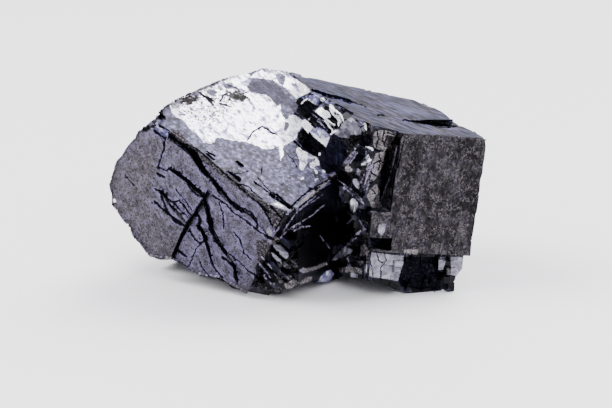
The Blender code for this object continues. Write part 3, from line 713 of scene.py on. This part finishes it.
def relief(places, facings):
    """How far each point of the fine mesh is pushed in, in millimetres."""
    left = left_places(places)
    right = right_places(places)
    on = lying_on(places, facings, SHAPED_REACH, SHAPED_FACING)
    flat = np.any([on[name] for name in FACES], axis=0)
    beside = np.any([np.abs(offset) < EDGE_REACH for offset, way in plane_offsets(places).values()], axis=0)
    broken = ~flat & ~beside & (places[:, 2] > FLOOR_CLEAR * MM)
    local = np.where((left[:, 0] > LEFT_BEGINS)[:, None], left, right)
    blocks = BLOCK_DEPTH * cell_noise(local + BLOCK_SHIFT, BLOCK_SIZE, SEED) ** 2
    blocks += CHIP_DEPTH * cell_noise(local, CHIP_SIZE, SEED + 1)
    depth = np.where(broken, blocks, 0.0)

    level = stepped(levels(places))
    wander = GROOVE_WANDER * (rough_noise(left, WANDER_SIZE, SEED + 5, 2) - 0.5)
    groove = groove_depths(photo_places(places), wander)
    for name in FACES:
        terraces = STEP_HEIGHTS[name] * level
        if name == "bright":
            terraces += RIM_STEP_HEIGHT * smooth_step(left[:, 0], RIM_START, RIM_WHOLE) * level
        if name == "cracked":
            terraces += PLATE_SWELL * rough_noise(left, SWELL_SIZE, SEED + 9, 2)
        if name in GROOVED_FACES:
            terraces = np.maximum(terraces, groove)
        depth[on[name]] = terraces[on[name]]

    wear_and_sheen = EDGE_WEAR * np.maximum(rough_noise(places / MM, WEAR_SIZE, SEED + 20, 3) - WEAR_THRESHOLD, 0.0)
    depth[beside & ~flat] = wear_and_sheen[beside & ~flat]
    return depth


def keep_inside(mesh, places):
    """Moves the mesh's points, none of them beyond the box of the solid."""
    mesh.vertices.foreach_set("co", np.clip(places, np.array(cad_low), np.array(cad_high)).ravel())
    mesh.update()


def trimmed(places):
    """Points beyond the chords of the outline are brought back to them."""
    moved = places.copy()
    for line in TRIMS:
        for start, way in straight_pieces(line):
            length = np.linalg.norm(way)
            seen = photo_places(moved) - start
            along = seen @ way / length
            beyond = (seen[:, 0] * way[1] - seen[:, 1] * way[0]) / length
            out = (along >= 0.0) & (along <= length) & (beyond > 0.0) & (beyond < TRIM_REACH)
            inward = (-way[1] * np.array((1.0, 0.0, 0.0)) - way[0] * UP) / length
            moved[out] += (beyond[out] * PIXEL * MM)[:, None] * inward
    return moved


def healed(places):
    """The floor of the chip is raised where it would cut into the outline."""
    seen = photo_places(places)
    offset, way = plane_offsets(places)["slope"]
    share = smooth_step(seen[:, 0], HEAL_START, HEAL_WHOLE)
    share *= 1.0 - smooth_step(seen[:, 0], HEAL_EASES, HEAL_END)
    low = (offset < HEAL_FLOOR) & (offset > HEAL_DEEPEST) & (np.abs(seen[:, 1] - HEAL_ROW) < HEAL_ROWS)
    return places + np.where(low, share * (HEAL_FLOOR - offset), 0.0)[:, None] * way * MM


def work_over(mesh):
    """Pushes the relief into the mesh, and mends its outline."""
    places = vectors(mesh.vertices, "co")
    facings = vectors(mesh.vertex_normals, "vector")
    keep_inside(mesh, trimmed(healed(places - facings * (relief(places, facings) * MM)[:, None])))


def hidden_points(mesh):
    """Which points of the mesh the photograph doesn't show."""
    places = vectors(mesh.vertices, "co")
    facings = vectors(mesh.vertex_normals, "vector")
    toward = EYE - places
    toward /= np.linalg.norm(toward, axis=1)[:, None]
    hidden = np.einsum("ij,ij->i", toward, facings) < 0.0
    tree = BVHTree.FromPolygons(places.tolist(), [tuple(face.vertices) for face in mesh.polygons])
    for number in np.nonzero(~hidden)[0]:
        start = Vector(places[number] + facings[number] * SIGHT_LIFT)
        hidden[number] = tree.ray_cast(start, Vector(toward[number]))[0] is not None
    return hidden


def well_hidden(mesh):
    """Hidden points that have no visible point within a few edges."""
    ends = np.empty(len(mesh.edges) * 2, np.int32)
    mesh.edges.foreach_get("vertices", ends)
    first, second = ends[0::2], ends[1::2]
    visible = ~hidden_points(mesh)
    for _ in range(HIDDEN_RINGS):
        grown = visible.copy()
        grown[first[visible[second]]] = True
        grown[second[visible[first]]] = True
        visible = grown
    return ~visible


def thin_hidden(mesh):
    """Fewer faces where the photograph doesn't look."""
    ratio = KEPT_TRIANGLES / sum(len(face.vertices) - 2 for face in mesh.polygons)
    return remade(mesh, "rear", "DECIMATE", {"ratio": ratio, "vertex_group": "hidden"}, hidden_points(mesh))


def drop_doubled(mesh):
    """Takes out faces that lie back to back on the same points."""
    work = bmesh.new()
    work.from_mesh(mesh)
    alike = {}
    for face in work.faces:
        alike.setdefault(frozenset(face.verts), []).append(face)
    doubled = [face for faces in alike.values() if len(faces) > 1 for face in faces]
    bmesh.ops.delete(work, geom=doubled, context="FACES")
    work.to_mesh(mesh)
    work.free()


def add_attribute(mesh, name, values, domain="POINT"):
    layer = mesh.attributes.new(name, "FLOAT", domain)
    layer.data.foreach_set("value", np.asarray(values, np.float32))


def inside_any(points, outlines):
    return np.max([outline_distance(points, outline) for outline in outlines], axis=0)


def mark_points(mesh):
    """Distances in millimetres, inside or outside, from the outlines that the materials follow."""
    places = vectors(mesh.vertices, "co")
    seen = photo_places(places)
    hidden = well_hidden(mesh)
    add_attribute(mesh, "level", levels(places))
    drawn = {
        "stain": STAINS, "dirt": DIRTY, "dusty": DUSTY, "shaded_lobe": SHADED_LOBE, "grey": GREY_FACETS,
        "brown": BROWN_PATCHES, "black": BLACK_FACETS, "navy": NAVY_FACETS, "pale": PALE_FACETS,
        "hazy": HAZY, "grey_band": GREY_BANDS, "shade": SHADES}
    inside = {name: inside_any(seen, outlines) for name, outlines in drawn.items()}
    inside["lit"] = np.minimum(inside_any(seen, LIT), -inside_any(seen, TARNISHED))
    for name, distance in inside.items():
        add_attribute(mesh, name, np.where(hidden, -FAR, PIXEL * distance))
    cracks = [crack[:2] for crack in CRACKS]
    for name, lines in (("crack", cracks), ("stroke", STROKES), ("glint", GLINTS)):
        side, edge, width = nearest_line(seen, lines)
        add_attribute(mesh, name + "_side", PIXEL * side)
        add_attribute(mesh, name + "_edge", np.where(hidden, FAR, PIXEL * edge))
        add_attribute(mesh, name + "_half", PIXEL * width / 2.0)


def painted_facing_light(centres, facings):
    """Painted light and shade for each face, from black (0) to bright (1), by the way it faces."""
    in_left = left_places(centres)[:, 0] > LEFT_BEGINS
    like_top = np.where(in_left, facings @ -LEFT[2], facings @ RIGHT[2])
    like_front = np.where(in_left, facings @ -LEFT[1], facings @ -RIGHT[1])
    facing_light_tone = PLAIN_TONE + UP_FACING_LIGHT * smooth_step(like_top, TONE_START, TONE_WHOLE)
    return facing_light_tone + FRONT_FACING_SHADE * smooth_step(like_front, TONE_START, TONE_WHOLE)


def linear(code):
    """An sRGB colour as #rrggbb in linear light."""
    parts = [int(code[at:at + 2], 16) / 255.0 for at in (1, 3, 5)]
    parts = [part / 12.92 if part <= 0.04045 else ((part + 0.055) / 1.055) ** 2.4 for part in parts]
    return (*parts, 1.0)


def add(material, kind, inputs=None, output=0, stops=(), **settings):
    """Adds a node with its settings and colours, sets or links its inputs, and gives one of its outputs."""
    node = material.node_tree.nodes.new("ShaderNode" + kind)
    for name, value in settings.items():
        setattr(node, name, value)
    for number, (place, colour) in enumerate(stops):
        spot = node.color_ramp.elements[number] if number < 2 else node.color_ramp.elements.new(place)
        spot.position = place
        spot.color = linear(colour)
    for key, value in (inputs or {}).items():
        if isinstance(value, bpy.types.NodeSocket):
            material.node_tree.links.new(value, node.inputs[key])
        else:
            node.inputs[key].default_value = value
    return node.outputs[output]


def new_material(name):
    material = bpy.data.materials.new(name)
    material.use_nodes = True
    return material


def places_in_mm(material, corner, axes):
    """Object coordinates along three ways from a corner, in millimetres."""
    place = add(material, "TexCoord", output="Object")
    moved = add(material, "VectorMath", {0: place, 1: corner * MM}, operation="SUBTRACT")
    along = [
        add(material, "VectorMath", {0: moved, 1: way / MM}, "Value", operation="DOT_PRODUCT")
        for way in axes]
    return add(material, "CombineXYZ", dict(enumerate(along)))


def clouds(material, places, size, detail=3.0, stretch=(1.0, 1.0, 1.0)):
    """Cloudy noise whose patches are of a size in millimetres, times the stretch each way."""
    scale = [1.0 / (size * factor) for factor in stretch]
    scaled = add(material, "VectorMath", {0: places, 1: scale}, operation="MULTIPLY")
    inputs = {"Vector": scaled, "Scale": 1.0, "Detail": detail, "Roughness": 0.6}
    return add(material, "TexNoise", inputs, "Fac")


def facets(material, places, size):
    """A random value for each squarish facet of a size in millimetres."""
    scaled = add(material, "VectorMath", {0: places, 1: [1.0 / part for part in size]}, operation="MULTIPLY")
    inputs = {"Vector": scaled, "Scale": 1.0, "Randomness": 0.75}
    cells = add(material, "TexVoronoi", inputs, "Color", distance="CHEBYCHEV")
    return add(material, "SeparateColor", {0: cells})


def squiggles(material, places, size, width):
    """Thin winding lines, where cloudy noise passes its middle."""
    off = add(material, "Math", {0: clouds(material, places, size), 1: 0.5}, operation="SUBTRACT")
    off = add(material, "Math", {0: off}, operation="ABSOLUTE")
    return add(material, "MapRange", {0: off, 2: width, 3: 1.0, 4: 0.0}, **SOFT)


def ragged(material, places, size, reach):
    """A few tenths of a millimetre more or less, so that borders run raggedly."""
    rough = clouds(material, places, size, 4.0)
    return add(material, "MapRange", {0: rough, 1: 0.3, 2: 0.7, 3: -reach, 4: reach}, **SOFT)


def drawn_share(material, name, wander, soft=0.06):
    """Whole inside a drawn outline and none outside, softly over some millimetres on both sides of it."""
    inside = add(material, "Attribute", output="Fac", attribute_name=name)
    inside = add(material, "Math", {0: inside, 1: wander}, operation="ADD")
    return add(material, "MapRange", {0: inside, 1: -soft, 2: soft}, **SOFT)


def step_lines(material, width):
    """The height of the stepped cleavage in steps, and a mask for the thin foot of each step, where a thin
    line of painted shade goes (painted highlight on the dark face).
    """
    level = add(material, "Attribute", output="Fac", attribute_name="level")
    part = add(material, "Math", {0: level}, operation="FRACT")
    whole = add(material, "Math", {0: level}, operation="FLOOR")
    rise = add(material, "MapRange", {0: part, 2: width}, **SOFT)
    step_light_and_shade = add(material, "MapRange", {0: part, 2: width, 3: 1.0, 4: 0.0}, **SOFT)
    return add(material, "Math", {0: whole, 1: rise}, operation="ADD"), step_light_and_shade


def line_share(material, places, name, wander_size, reach):
    """Whole on the drawn lines of a kind, which wander and vary in width, and none beside them."""
    side, edge, half = [
        add(material, "Attribute", output="Fac", attribute_name=name + end)
        for end in ("_side", "_edge", "_half")]
    side = add(material, "Math", {0: side, 1: ragged(material, places, wander_size, reach)}, operation="ADD")
    away = add(material, "Math", {0: side}, operation="ABSOLUTE")
    swell = clouds(material, places, 1.6)
    swell = add(material, "MapRange", {0: swell, 1: 0.35, 2: 0.65, 3: 0.6, 4: 1.3}, **SOFT)
    half = add(material, "Math", {0: half, 1: swell, 2: LINE_SPREAD}, operation="MULTIPLY_ADD")
    beyond = add(material, "Math", {0: away, 1: half}, operation="SUBTRACT")
    on_line = add(material, "MapRange", {0: beyond, 1: -0.03, 2: 0.06, 3: 1.0, 4: 0.0}, **SOFT)
    near = add(material, "MapRange", {0: edge, 1: 0.22, 2: 0.34, 3: 1.0, 4: 0.0}, **SOFT)
    return add(material, "Math", {0: on_line, 1: near}, operation="MULTIPLY")


def layered(material, colour, layers):
    """Lays tints over a colour, one after another.

    A layer is a value, where its tint starts and where it is whole, its strength there, and the tint. A value
    that is a share already, from 0 to 1, is taken straight.
    """
    for value, start, whole, strength, tint in layers:
        change = "LINEAR" if (start, whole) == (0.0, 1.0) else "SMOOTHSTEP"
        span = {0: value, 1: start, 2: whole, 4: strength}
        share = add(material, "MapRange", span, interpolation_type=change)
        tint = linear(tint) if isinstance(tint, str) else tint
        colour = add(material, "Mix", {0: share, 6: colour, 7: tint}, **TINTED)
    return colour


def drawn_facets(material, places, colour, gloss):
    """Lays the facets, strokes and cracks that the photograph shows plainly over a colour.

    Gives the share of cracks, the colour, and how metallic it is: dust and tarnish hide the metal beneath,
    and the painted highlights and reflections are made mostly matt so that their painted light shows.
    """
    wander = ragged(material, places, 0.6, 0.09)
    speck = clouds(material, places, 0.5, 5.0)
    patch = clouds(material, places, 1.6)
    stroke = clouds(material, places, 0.5, 2.0, (1.0, 5.0, 1.0))
    grey, brown, pale, haze, navy = [
        add(material, "ValToRGB", {0: value}, stops=stops) for value, *stops in (
            (speck, (0.36, "#231f22"), (0.5, "#565154"), (0.64, "#857e83")),
            (speck, (0.4, "#060508"), (0.52, "#272327"), (0.62, "#5c5860")),
            (patch, (0.38, "#565461"), (0.5, "#6f6c7a"), (0.62, "#8a8795")),
            (patch, (0.36, "#5f5c85"), (0.5, "#837fac"), (0.6, "#b4b5c6")),
            (patch, (0.4, "#07070f"), (0.55, "#111123"), (0.68, "#1d1e37")))]
    grey = layered(material, grey, [(stroke, 0.6, 0.66, 0.68, "#0e0c12")])
    pale = layered(material, pale, [(stroke, 0.6, 0.66, 0.68, "#2a2531")])
    lit = layered(material, linear("#f0f0f5"), [(stroke, 0.6, 0.66, 0.85, "#8a87a0")])
    black = layered(material, linear("#07070c"), [(speck, 0.54, 0.64, 0.45, "#2b2830")])
    # Painted light among these looks: black and navy facets are painted reflections of a dark room, lit, pale
    # and grey facets painted reflections of the lamps, the lobe painted shade
    looks = (("black", black, 1.0), ("brown", brown, 0.9), ("navy", navy, 0.9), ("grey", grey, 0.3),
             ("pale", pale, 0.3), ("shaded_lobe", "#302a36", 0.4), ("hazy", haze, 0.4), ("lit", lit, 0.3))
    for name, look, shine in looks:
        share = drawn_share(material, name, wander)
        colour = layered(material, colour, [(share, 0.0, 1.0, 1.0, look)])
        gloss = add(material, "MapRange", {0: share, 3: gloss, 4: shine}, **SOFT)

    broken = add(material, "MapRange", {0: patch, 1: 0.38, 2: 0.5}, **SOFT)
    # Painted highlights: strokes and glints where thin edges catch the lamp
    stroke = line_share(material, places, "stroke", 0.8, 0.12)
    stroke = add(material, "Math", {0: stroke, 1: broken}, operation="MULTIPLY")
    glint = line_share(material, places, "glint", 0.8, 0.1)
    crack = line_share(material, places, "crack", 0.8, 0.16)
    colour = layered(material, colour, [
        (stroke, 0.0, 1.0, 0.8, "#7d758c"), (glint, 0.0, 1.0, 1.0, "#f0f0f5"),
        (crack, 0.0, 1.0, 0.95, "#06060a")])
    bright = add(material, "Math", {0: stroke, 1: glint}, operation="MAXIMUM")
    gloss = add(material, "MapRange", {0: bright, 3: gloss, 4: 0.3}, **SOFT)
    gloss = add(material, "MapRange", {0: crack, 3: gloss, 4: 1.0}, **SOFT)
    return crack, colour, gloss


def finish_surface(material, colour, roughness, metallic, crack, height, depth_mm, strength=0.6):
    """Connects the look to the material's surface, with a fine bump as deep as told. Cracks stay dull."""
    roughness = add(material, "MapRange", {0: crack, 3: roughness, 4: 1.0}, **SOFT)
    bump = add(material, "Bump", {"Strength": strength, "Distance": depth_mm * MM, "Height": height})
    shader = material.node_tree.nodes["Principled BSDF"]
    ends = {"Base Color": colour, "Roughness": roughness, "Metallic": metallic, "Normal": bump}
    for name, value in ends.items():
        material.node_tree.links.new(value, shader.inputs[name])
    return material


def fresh_cleavage():
    """Bright top: a mirror-like clean patch with painted sheen, ragged borders in blue-grey tarnish, brown
    stains.
    """
    material = new_material("galena_cleavage_fresh_and_tarnished")
    places = places_in_mm(material, LEFT_CORNER, LEFT)
    cloud = clouds(material, places, 2.6, 6.0)
    fine = clouds(material, places, 0.6, 4.0)
    coarse = clouds(material, places, 1.1, 4.0)
    dull_patch = clouds(material, places, 1.9, 5.0)
    scratch = clouds(material, places, 0.5, 3.0, (4.0, 1.0, 1.0))
    plate = facets(material, places, (4.5, 2.2, 3.0))
    height, step_light_and_shade = step_lines(material, 0.2)
    crack = line_share(material, places, "crack", 0.7, 0.1)
    clean_lit_patch = drawn_share(material, "lit", ragged(material, places, 1.2, 0.25))
    wander = ragged(material, places, 1.0, 0.7)
    stain = drawn_share(material, "stain", wander, 0.3)
    grey_band = drawn_share(material, "grey_band", wander, 0.4)

    # Stains and grey bands are thinner in spots; specks are denser in the dirty part
    thick = add(material, "MapRange", {0: coarse, 1: 0.4, 2: 0.55, 3: 0.78}, **SOFT)
    stain = add(material, "Math", {0: stain, 1: thick}, operation="MULTIPLY")
    thin = add(material, "MapRange", {0: fine, 1: 0.42, 2: 0.58, 3: 1.0, 4: 0.75}, **SOFT)
    grey_band = add(material, "Math", {0: grey_band, 1: thin}, operation="MULTIPLY")
    speck = add(material, "MapRange", {0: fine, 1: 0.58, 2: 0.66, 4: 0.6}, **SOFT)
    dirt = add(material, "Attribute", output="Fac", attribute_name="dirt")
    dirt = add(material, "MapRange", {0: dirt, 1: -1.0, 2: 1.5}, **SOFT)
    dense = add(material, "MapRange", {0: fine, 1: 0.5, 2: 0.58, 4: 0.95}, **SOFT)
    dense = add(material, "Math", {0: dense, 1: dirt}, operation="MULTIPLY")
    scratch = add(material, "MapRange", {0: scratch, 1: 0.56, 2: 0.62, 4: 0.7}, **SOFT)
    dull = stain
    for share in (speck, dense, scratch):
        dull = add(material, "Math", {0: dull, 1: share}, operation="MAXIMUM")

    stops = [(0.38, "#131320"), (0.46, "#282739"), (0.54, "#403e56"), (0.63, "#64617f")]
    tarnish = add(material, "ValToRGB", {0: cloud}, stops=stops)
    # Painted shade: a thin dark line at the foot of each step; the grey bands make the far edges darker
    tarnish = layered(material, tarnish, [
        (plate, 0.35, 0.65, 0.5, "#504e6e"), (coarse, 0.54, 0.62, 0.4, "#9a95bd"),
        (coarse, 0.47, 0.38, 0.85, "#131217"), (step_light_and_shade, 0.0, 1.0, 0.7, "#12101b"),
        (stain, 0.0, 1.0, 0.8, "#1a1517"), (grey_band, 0.0, 1.0, 0.85, "#35313b")])
    drawn_crack, colour, gloss = drawn_facets(material, places, tarnish, 0.3)
    stained_and_banded = add(material, "Math", {0: grey_band, 1: stain}, operation="MAXIMUM")
    gloss = add(material, "MapRange", {0: stained_and_banded, 3: gloss, 4: 0.95}, **SOFT)

    # Painted reflection: the clean patch is coloured up to near white where it mirrors the lamp; dirt specks,
    # cracks, grey bands and stains lie over it
    stops = [(0.36, "#6b6480"), (0.43, "#a9a2c0"), (0.5, "#ececf4")]
    wear_and_sheen = add(material, "ValToRGB", {0: dull_patch}, stops=stops)
    wear_and_sheen = layered(material, wear_and_sheen, [
        (dull, 0.0, 1.0, 1.0, "#2a222a"), (crack, 0.0, 1.0, 0.92, "#0a090f"),
        (grey_band, 0.0, 1.0, 0.9, "#35313b"), (stain, 0.0, 1.0, 1.0, "#1b1917")])
    colour = layered(material, colour, [(clean_lit_patch, 0.0, 1.0, 1.0, wear_and_sheen)])

    # The patch mirrors less beside the dark wall of the broken zone, which would show in it as dots
    spoilt = add(material, "Math", {0: dull, 1: crack}, operation="MAXIMUM")
    kept = add(material, "Math", {0: 1.0, 1: spoilt}, operation="SUBTRACT")
    even = add(material, "MapRange", {0: dull_patch, 1: 0.36, 2: 0.5, 3: 0.4}, **SOFT)
    black, navy = [
        add(material, "Attribute", output="Fac", attribute_name=name) for name in ("black", "navy")]
    wall = add(material, "Math", {0: black, 1: navy}, operation="MAXIMUM")
    mirror = add(material, "MapRange", {0: wall, 1: -5.5, 2: -3.5, 3: 1.0, 4: 0.25}, **SOFT)
    shiny = clean_lit_patch
    for share in (kept, even, mirror):
        shiny = add(material, "Math", {0: shiny, 1: share}, operation="MULTIPLY")
    gloss = add(material, "MapRange", {0: clean_lit_patch, 3: gloss, 4: mirror}, **SOFT)
    roughness = add(material, "MapRange", {0: shiny, 3: 0.55, 4: 0.22}, **SOFT)
    return finish_surface(material, colour, roughness, gloss, drawn_crack, height, 0.06)


def cracked_tarnish():
    """Cracked face: dull grey, speckled brown, in thin plates with painted highlight on their edges along the
    cracks.
    """
    material = new_material("galena_tarnished_dull_grey")
    places = places_in_mm(material, LEFT_CORNER, LEFT)
    cloud = clouds(material, places, 3.5, 6.0)
    speck = clouds(material, places, 0.45)
    mottle = clouds(material, places, 1.4, 4.0)
    dusty = drawn_share(material, "dusty", ragged(material, places, 3.0, 2.0), 0.8)
    # Painted highlight: lighter along the plates' edges beside the cracks, where they catch the light; the
    # foot of each step is painted shade
    crack_rim_highlight = add(material, "Attribute", output="Fac", attribute_name="crack_edge")
    crack_rim_highlight = add(material, "Math", {0: crack_rim_highlight, 1: ragged(material, places, 2.0, 0.5)}, operation="ADD")
    height, step_light_and_shade = step_lines(material, 0.22)
    pits = add(material, "MapRange", {0: speck, 1: 0.45, 2: 0.38, 4: 0.9}, **SOFT)
    stops = [(0.35, "#29232f"), (0.5, "#3f394b"), (0.62, "#544d66")]
    plates = add(material, "ValToRGB", {0: cloud}, stops=stops)
    stops = [(0.35, "#211c23"), (0.5, "#312b34"), (0.62, "#423b45")]
    dust = add(material, "ValToRGB", {0: cloud}, stops=stops)
    colour = layered(material, plates, [
        (crack_rim_highlight, 1.0, 0.2, 0.7, "#5a5477"), (dusty, 0.0, 1.0, 1.0, dust), (mottle, 0.54, 0.62, 0.5, "#56506a"),
        (mottle, 0.46, 0.38, 0.6, "#1f191f"), (speck, 0.56, 0.66, 0.4, "#6b6484"),
        (pits, 0.0, 1.0, 1.0, "#1d1719"), (step_light_and_shade, 0.0, 1.0, 0.7, "#0e0c13")])
    gloss = add(material, "MapRange", {0: pits, 3: 0.4}, **SOFT)
    crack, colour, gloss = drawn_facets(material, places, colour, gloss)
    roughness = add(material, "MapRange", {0: cloud, 1: 0.3, 2: 0.7, 3: 0.5, 4: 0.38}, **SOFT)
    return finish_surface(material, colour, roughness, gloss, crack, height, 0.16, 0.9)


def weathered_front():
    """Front of the right crystal: dark brown-grey, mottled, with upright streaks and light squiggles."""
    material = new_material("galena_weathered_brown_grey")
    places = places_in_mm(material, RIGHT_CORNER, RIGHT)
    cloud = clouds(material, places, 4.0, 6.0, (1.0, 1.0, 1.8))
    upright = clouds(material, places, 1.8, 5.0, (1.0, 1.0, 4.0))
    hue = clouds(material, places, 2.2, 4.0)
    fleck = clouds(material, places, 0.7, 4.0, (1.0, 1.0, 1.5))
    shade = add(material, "Attribute", output="Fac", attribute_name="shade")
    height, step_light_and_shade = step_lines(material, 0.22)
    dense = add(material, "MapRange", {0: hue, 1: 0.42, 2: 0.56, 3: 0.1}, **SOFT)
    light = squiggles(material, places, 1.1, 0.032)
    light = add(material, "Math", {0: light, 1: dense}, operation="MULTIPLY")
    stops = [(0.36, "#1a181c"), (0.5, "#2e2b30"), (0.64, "#464347")]
    colour = add(material, "ValToRGB", {0: cloud}, stops=stops)
    # The foot of each step is painted shade
    colour = layered(material, colour, [
        (hue, 0.5, 0.6, 0.5, "#2b2938"), (upright, 0.5, 0.38, 0.6, "#151316"),
        (shade, -1.2, 1.2, 0.85, "#121114"), (light, 0.0, 1.0, 1.0, "#6a6463"),
        (fleck, 0.56, 0.64, 0.4, "#4a464a"), (fleck, 0.47, 0.38, 0.8, "#0f0e10"),
        (step_light_and_shade, 0.0, 1.0, 0.8, "#0c0b0d")])
    crack, colour, gloss = drawn_facets(material, places, colour, 0.95)
    return finish_surface(material, colour, 0.5, gloss, crack, height, 0.12, 0.8)


def streaked_top():
    """Sloping top: blue-grey cleavage seen at a low angle, drawn out in streaks."""
    material = new_material("galena_streaked_blue_grey")
    lean, cross = STREAK_WAY
    along = unit(lean * RIGHT[0] + cross * RIGHT[1])
    across = unit(-cross * RIGHT[0] + lean * RIGHT[1])
    places = places_in_mm(material, RIGHT_CORNER, (along, across, RIGHT[2]))
    streak = clouds(material, places, 0.7, 6.0, (7.0, 1.0, 3.0))
    hue = clouds(material, places, 0.8, 5.0, (7.0, 1.0, 3.0))
    cloud = clouds(material, places, 6.0, 4.0, (2.0, 1.0, 1.0))
    height, step_light_and_shade = step_lines(material, 0.25)
    stops = [(0.4, "#080912"), (0.5, "#21223b"), (0.6, "#4c4d77")]
    blue = add(material, "ValToRGB", {0: streak}, stops=stops)
    stops = [(0.4, "#08070a"), (0.5, "#242029"), (0.6, "#554d5c")]
    brown = add(material, "ValToRGB", {0: streak}, stops=stops)
    # The foot of each step is painted shade
    colour = layered(material, blue, [
        (hue, 0.44, 0.58, 1.0, brown), (cloud, 0.5, 0.7, 0.45, "#5f5e83"), (step_light_and_shade, 0.0, 1.0, 0.7, "#0f0e1a")])
    crack, colour, gloss = drawn_facets(material, places, colour, 0.95)
    roughness = add(material, "MapRange", {0: streak, 1: 0.35, 2: 0.65, 3: 0.5, 4: 0.36}, **SOFT)
    return finish_surface(material, colour, roughness, gloss, crack, height, 0.1)


def dark_cleavage():
    """Dark cleavage: a black mirror with a breath of blue, in large facets with a few bright grains."""
    material = new_material("galena_cleavage_black_mirror")
    places = places_in_mm(material, LEFT_CORNER, LEFT)
    cloud = clouds(material, places, 4.0, 5.0)
    grain = clouds(material, places, 0.5, 2.0)
    large = facets(material, places, (7.0, 5.0, 4.0))
    height, step_light_and_shade = step_lines(material, 0.15)
    # Painted reflection: black with a breath of blue, as the face mirrors a dark room; the step lines on it
    # are painted highlight
    stops = [(0.35, "#030306"), (0.52, "#090912"), (0.7, "#1a192d")]
    colour = add(material, "ValToRGB", {0: cloud}, stops=stops)
    colour = layered(material, colour, [
        (large, 0.55, 0.65, 0.5, "#1c1b30"), (step_light_and_shade, 0.0, 1.0, 0.5, "#3a364c"),
        (grain, 0.7, 0.73, 0.6, "#5d5673")])
    crack, colour, gloss = drawn_facets(material, places, colour, 0.9)
    return finish_surface(material, colour, 0.38, gloss, crack, height, 0.06)


def hackly_break():
    """Broken zones: small cleavage facets in painted light and shade, from black to bright, with a little
    tarnish between.
    """
    material = new_material("galena_broken_facets")
    places = places_in_mm(material, LEFT_CORNER, LEFT)
    cloud = clouds(material, places, 1.2, 5.0)
    large = facets(material, places, (3.4, 2.8, 2.2))
    small = facets(material, places, (1.3, 1.1, 0.9))
    # Painted light and shade: facets facing up are lighter, those facing the front darker, with random tone
    # added
    facing_light_tone = add(material, "Attribute", output="Fac", attribute_name="facing_light_tone")
    changes = ((cloud, 0.3, 0.7, 0.12), (large, 0.0, 1.0, 0.22), (small, 0.0, 1.0, 0.08))
    for value, low, high, reach in changes:
        change = add(material, "MapRange", {0: value, 1: low, 2: high, 3: -reach, 4: reach}, **SOFT)
        facing_light_tone = add(material, "Math", {0: facing_light_tone, 1: change}, operation="ADD")
    stops = [(0.1, "#060608"), (0.36, "#16151f"), (0.62, "#3f3e50"), (0.92, "#a9abba")]
    colour = add(material, "ValToRGB", {0: facing_light_tone}, stops=stops)
    crack, colour, gloss = drawn_facets(material, places, colour, 0.8)
    roughness = add(material, "MapRange", {0: cloud, 1: 0.3, 2: 0.7, 3: 0.22, 4: 0.45}, **SOFT)
    return finish_surface(material, colour, roughness, gloss, crack, cloud, 0.08)


def give_materials(item):
    """One material for each flat face of the crystals, and one for all that is broken."""
    mesh = item.data
    mesh.materials.clear()
    centres = vectors(mesh.polygons, "center")
    facings = vectors(mesh.polygons, "normal")
    on = lying_on(centres, facings, PAINTED_REACH, PAINTED_FACING)
    along_left = left_places(centres)[:, 0]
    on["bright"] &= along_left > LEFT_END
    on["cracked"] &= along_left > LEFT_END
    on["front"] &= (along_left < 0.0) & (right_places(centres)[:, 0] > PILLAR_LEFT)
    index = np.full(len(mesh.polygons), len(FACES), np.int32)
    for name in reversed(FACES):
        index[on[name]] = FACES.index(name)
    for make in (fresh_cleavage, cracked_tarnish, dark_cleavage, weathered_front, streaked_top, hackly_break):
        mesh.materials.append(make())
    mesh.polygons.foreach_set("material_index", index)
    # Painted light and shade of each face, by the way it faces
    add_attribute(mesh, "facing_light_tone", painted_facing_light(centres, facings), "FACE")


def specimen():
    """The whole specimen: the solid's cover with its relief and its materials."""
    mesh = fine_mesh()
    work_over(mesh)
    mesh = thin_hidden(mesh)
    drop_doubled(mesh)
    keep_inside(mesh, vectors(mesh.vertices, "co"))
    mark_points(mesh)
    mesh.polygons.foreach_set("use_smooth", np.ones(len(mesh.polygons), bool))
    mesh.set_sharp_from_angle(angle=SHARP_ANGLE)
    item = bpy.data.objects.new("specimen", mesh)
    bpy.context.scene.collection.objects.link(item)
    give_materials(item)
    return item


def floor():
    """A wide floor in matt pale paint, which takes a soft shadow and lightens the specimen from below."""
    bpy.ops.mesh.primitive_plane_add(size=FLOOR_SIZE)
    ground = bpy.context.active_object
    ground.name = "floor"
    paint = new_material("pale_floor_paint")
    shader = paint.node_tree.nodes["Principled BSDF"]
    shader.inputs["Base Color"].default_value = linear("#f2f2f3")
    shader.inputs["Roughness"].default_value = 0.6
    ground.data.materials.append(paint)


def area_light(name, direction, distance, size, power):
    """A soft square lamp that faces the specimen from a direction, in metres and watts."""
    lamp = bpy.data.lights.new(name, "AREA")
    lamp.size = size
    lamp.energy = power
    item = bpy.data.objects.new(name, lamp)
    way = Vector(direction).normalized()
    item.location = LAMP_AIM + way * distance
    item.rotation_euler = way.to_track_quat("Z", "Y").to_euler()
    bpy.context.scene.collection.objects.link(item)


def light():
    """A pale room and three lamps: above, which the bright patch mirrors, left, and a weak one in front."""
    world = bpy.data.worlds.new("studio")
    world.use_nodes = True
    world.node_tree.nodes["Background"].inputs["Color"].default_value = linear("#e6e6f0")
    world.node_tree.nodes["Background"].inputs["Strength"].default_value = ROOM_STRENGTH
    bpy.context.scene.world = world
    area_light("softbox_above", (0.42, 0.375, 0.83), 1.5, 1.3, 36.0)
    area_light("softbox_left", (-0.75, -0.1, 0.66), 1.6, 1.0, 40.0)
    area_light("softbox_front", (0.3, -0.75, 0.6), 1.6, 0.8, 16.0)


camera()
item = specimen()
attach(item, "root")
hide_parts(NODE)
floor()
light()
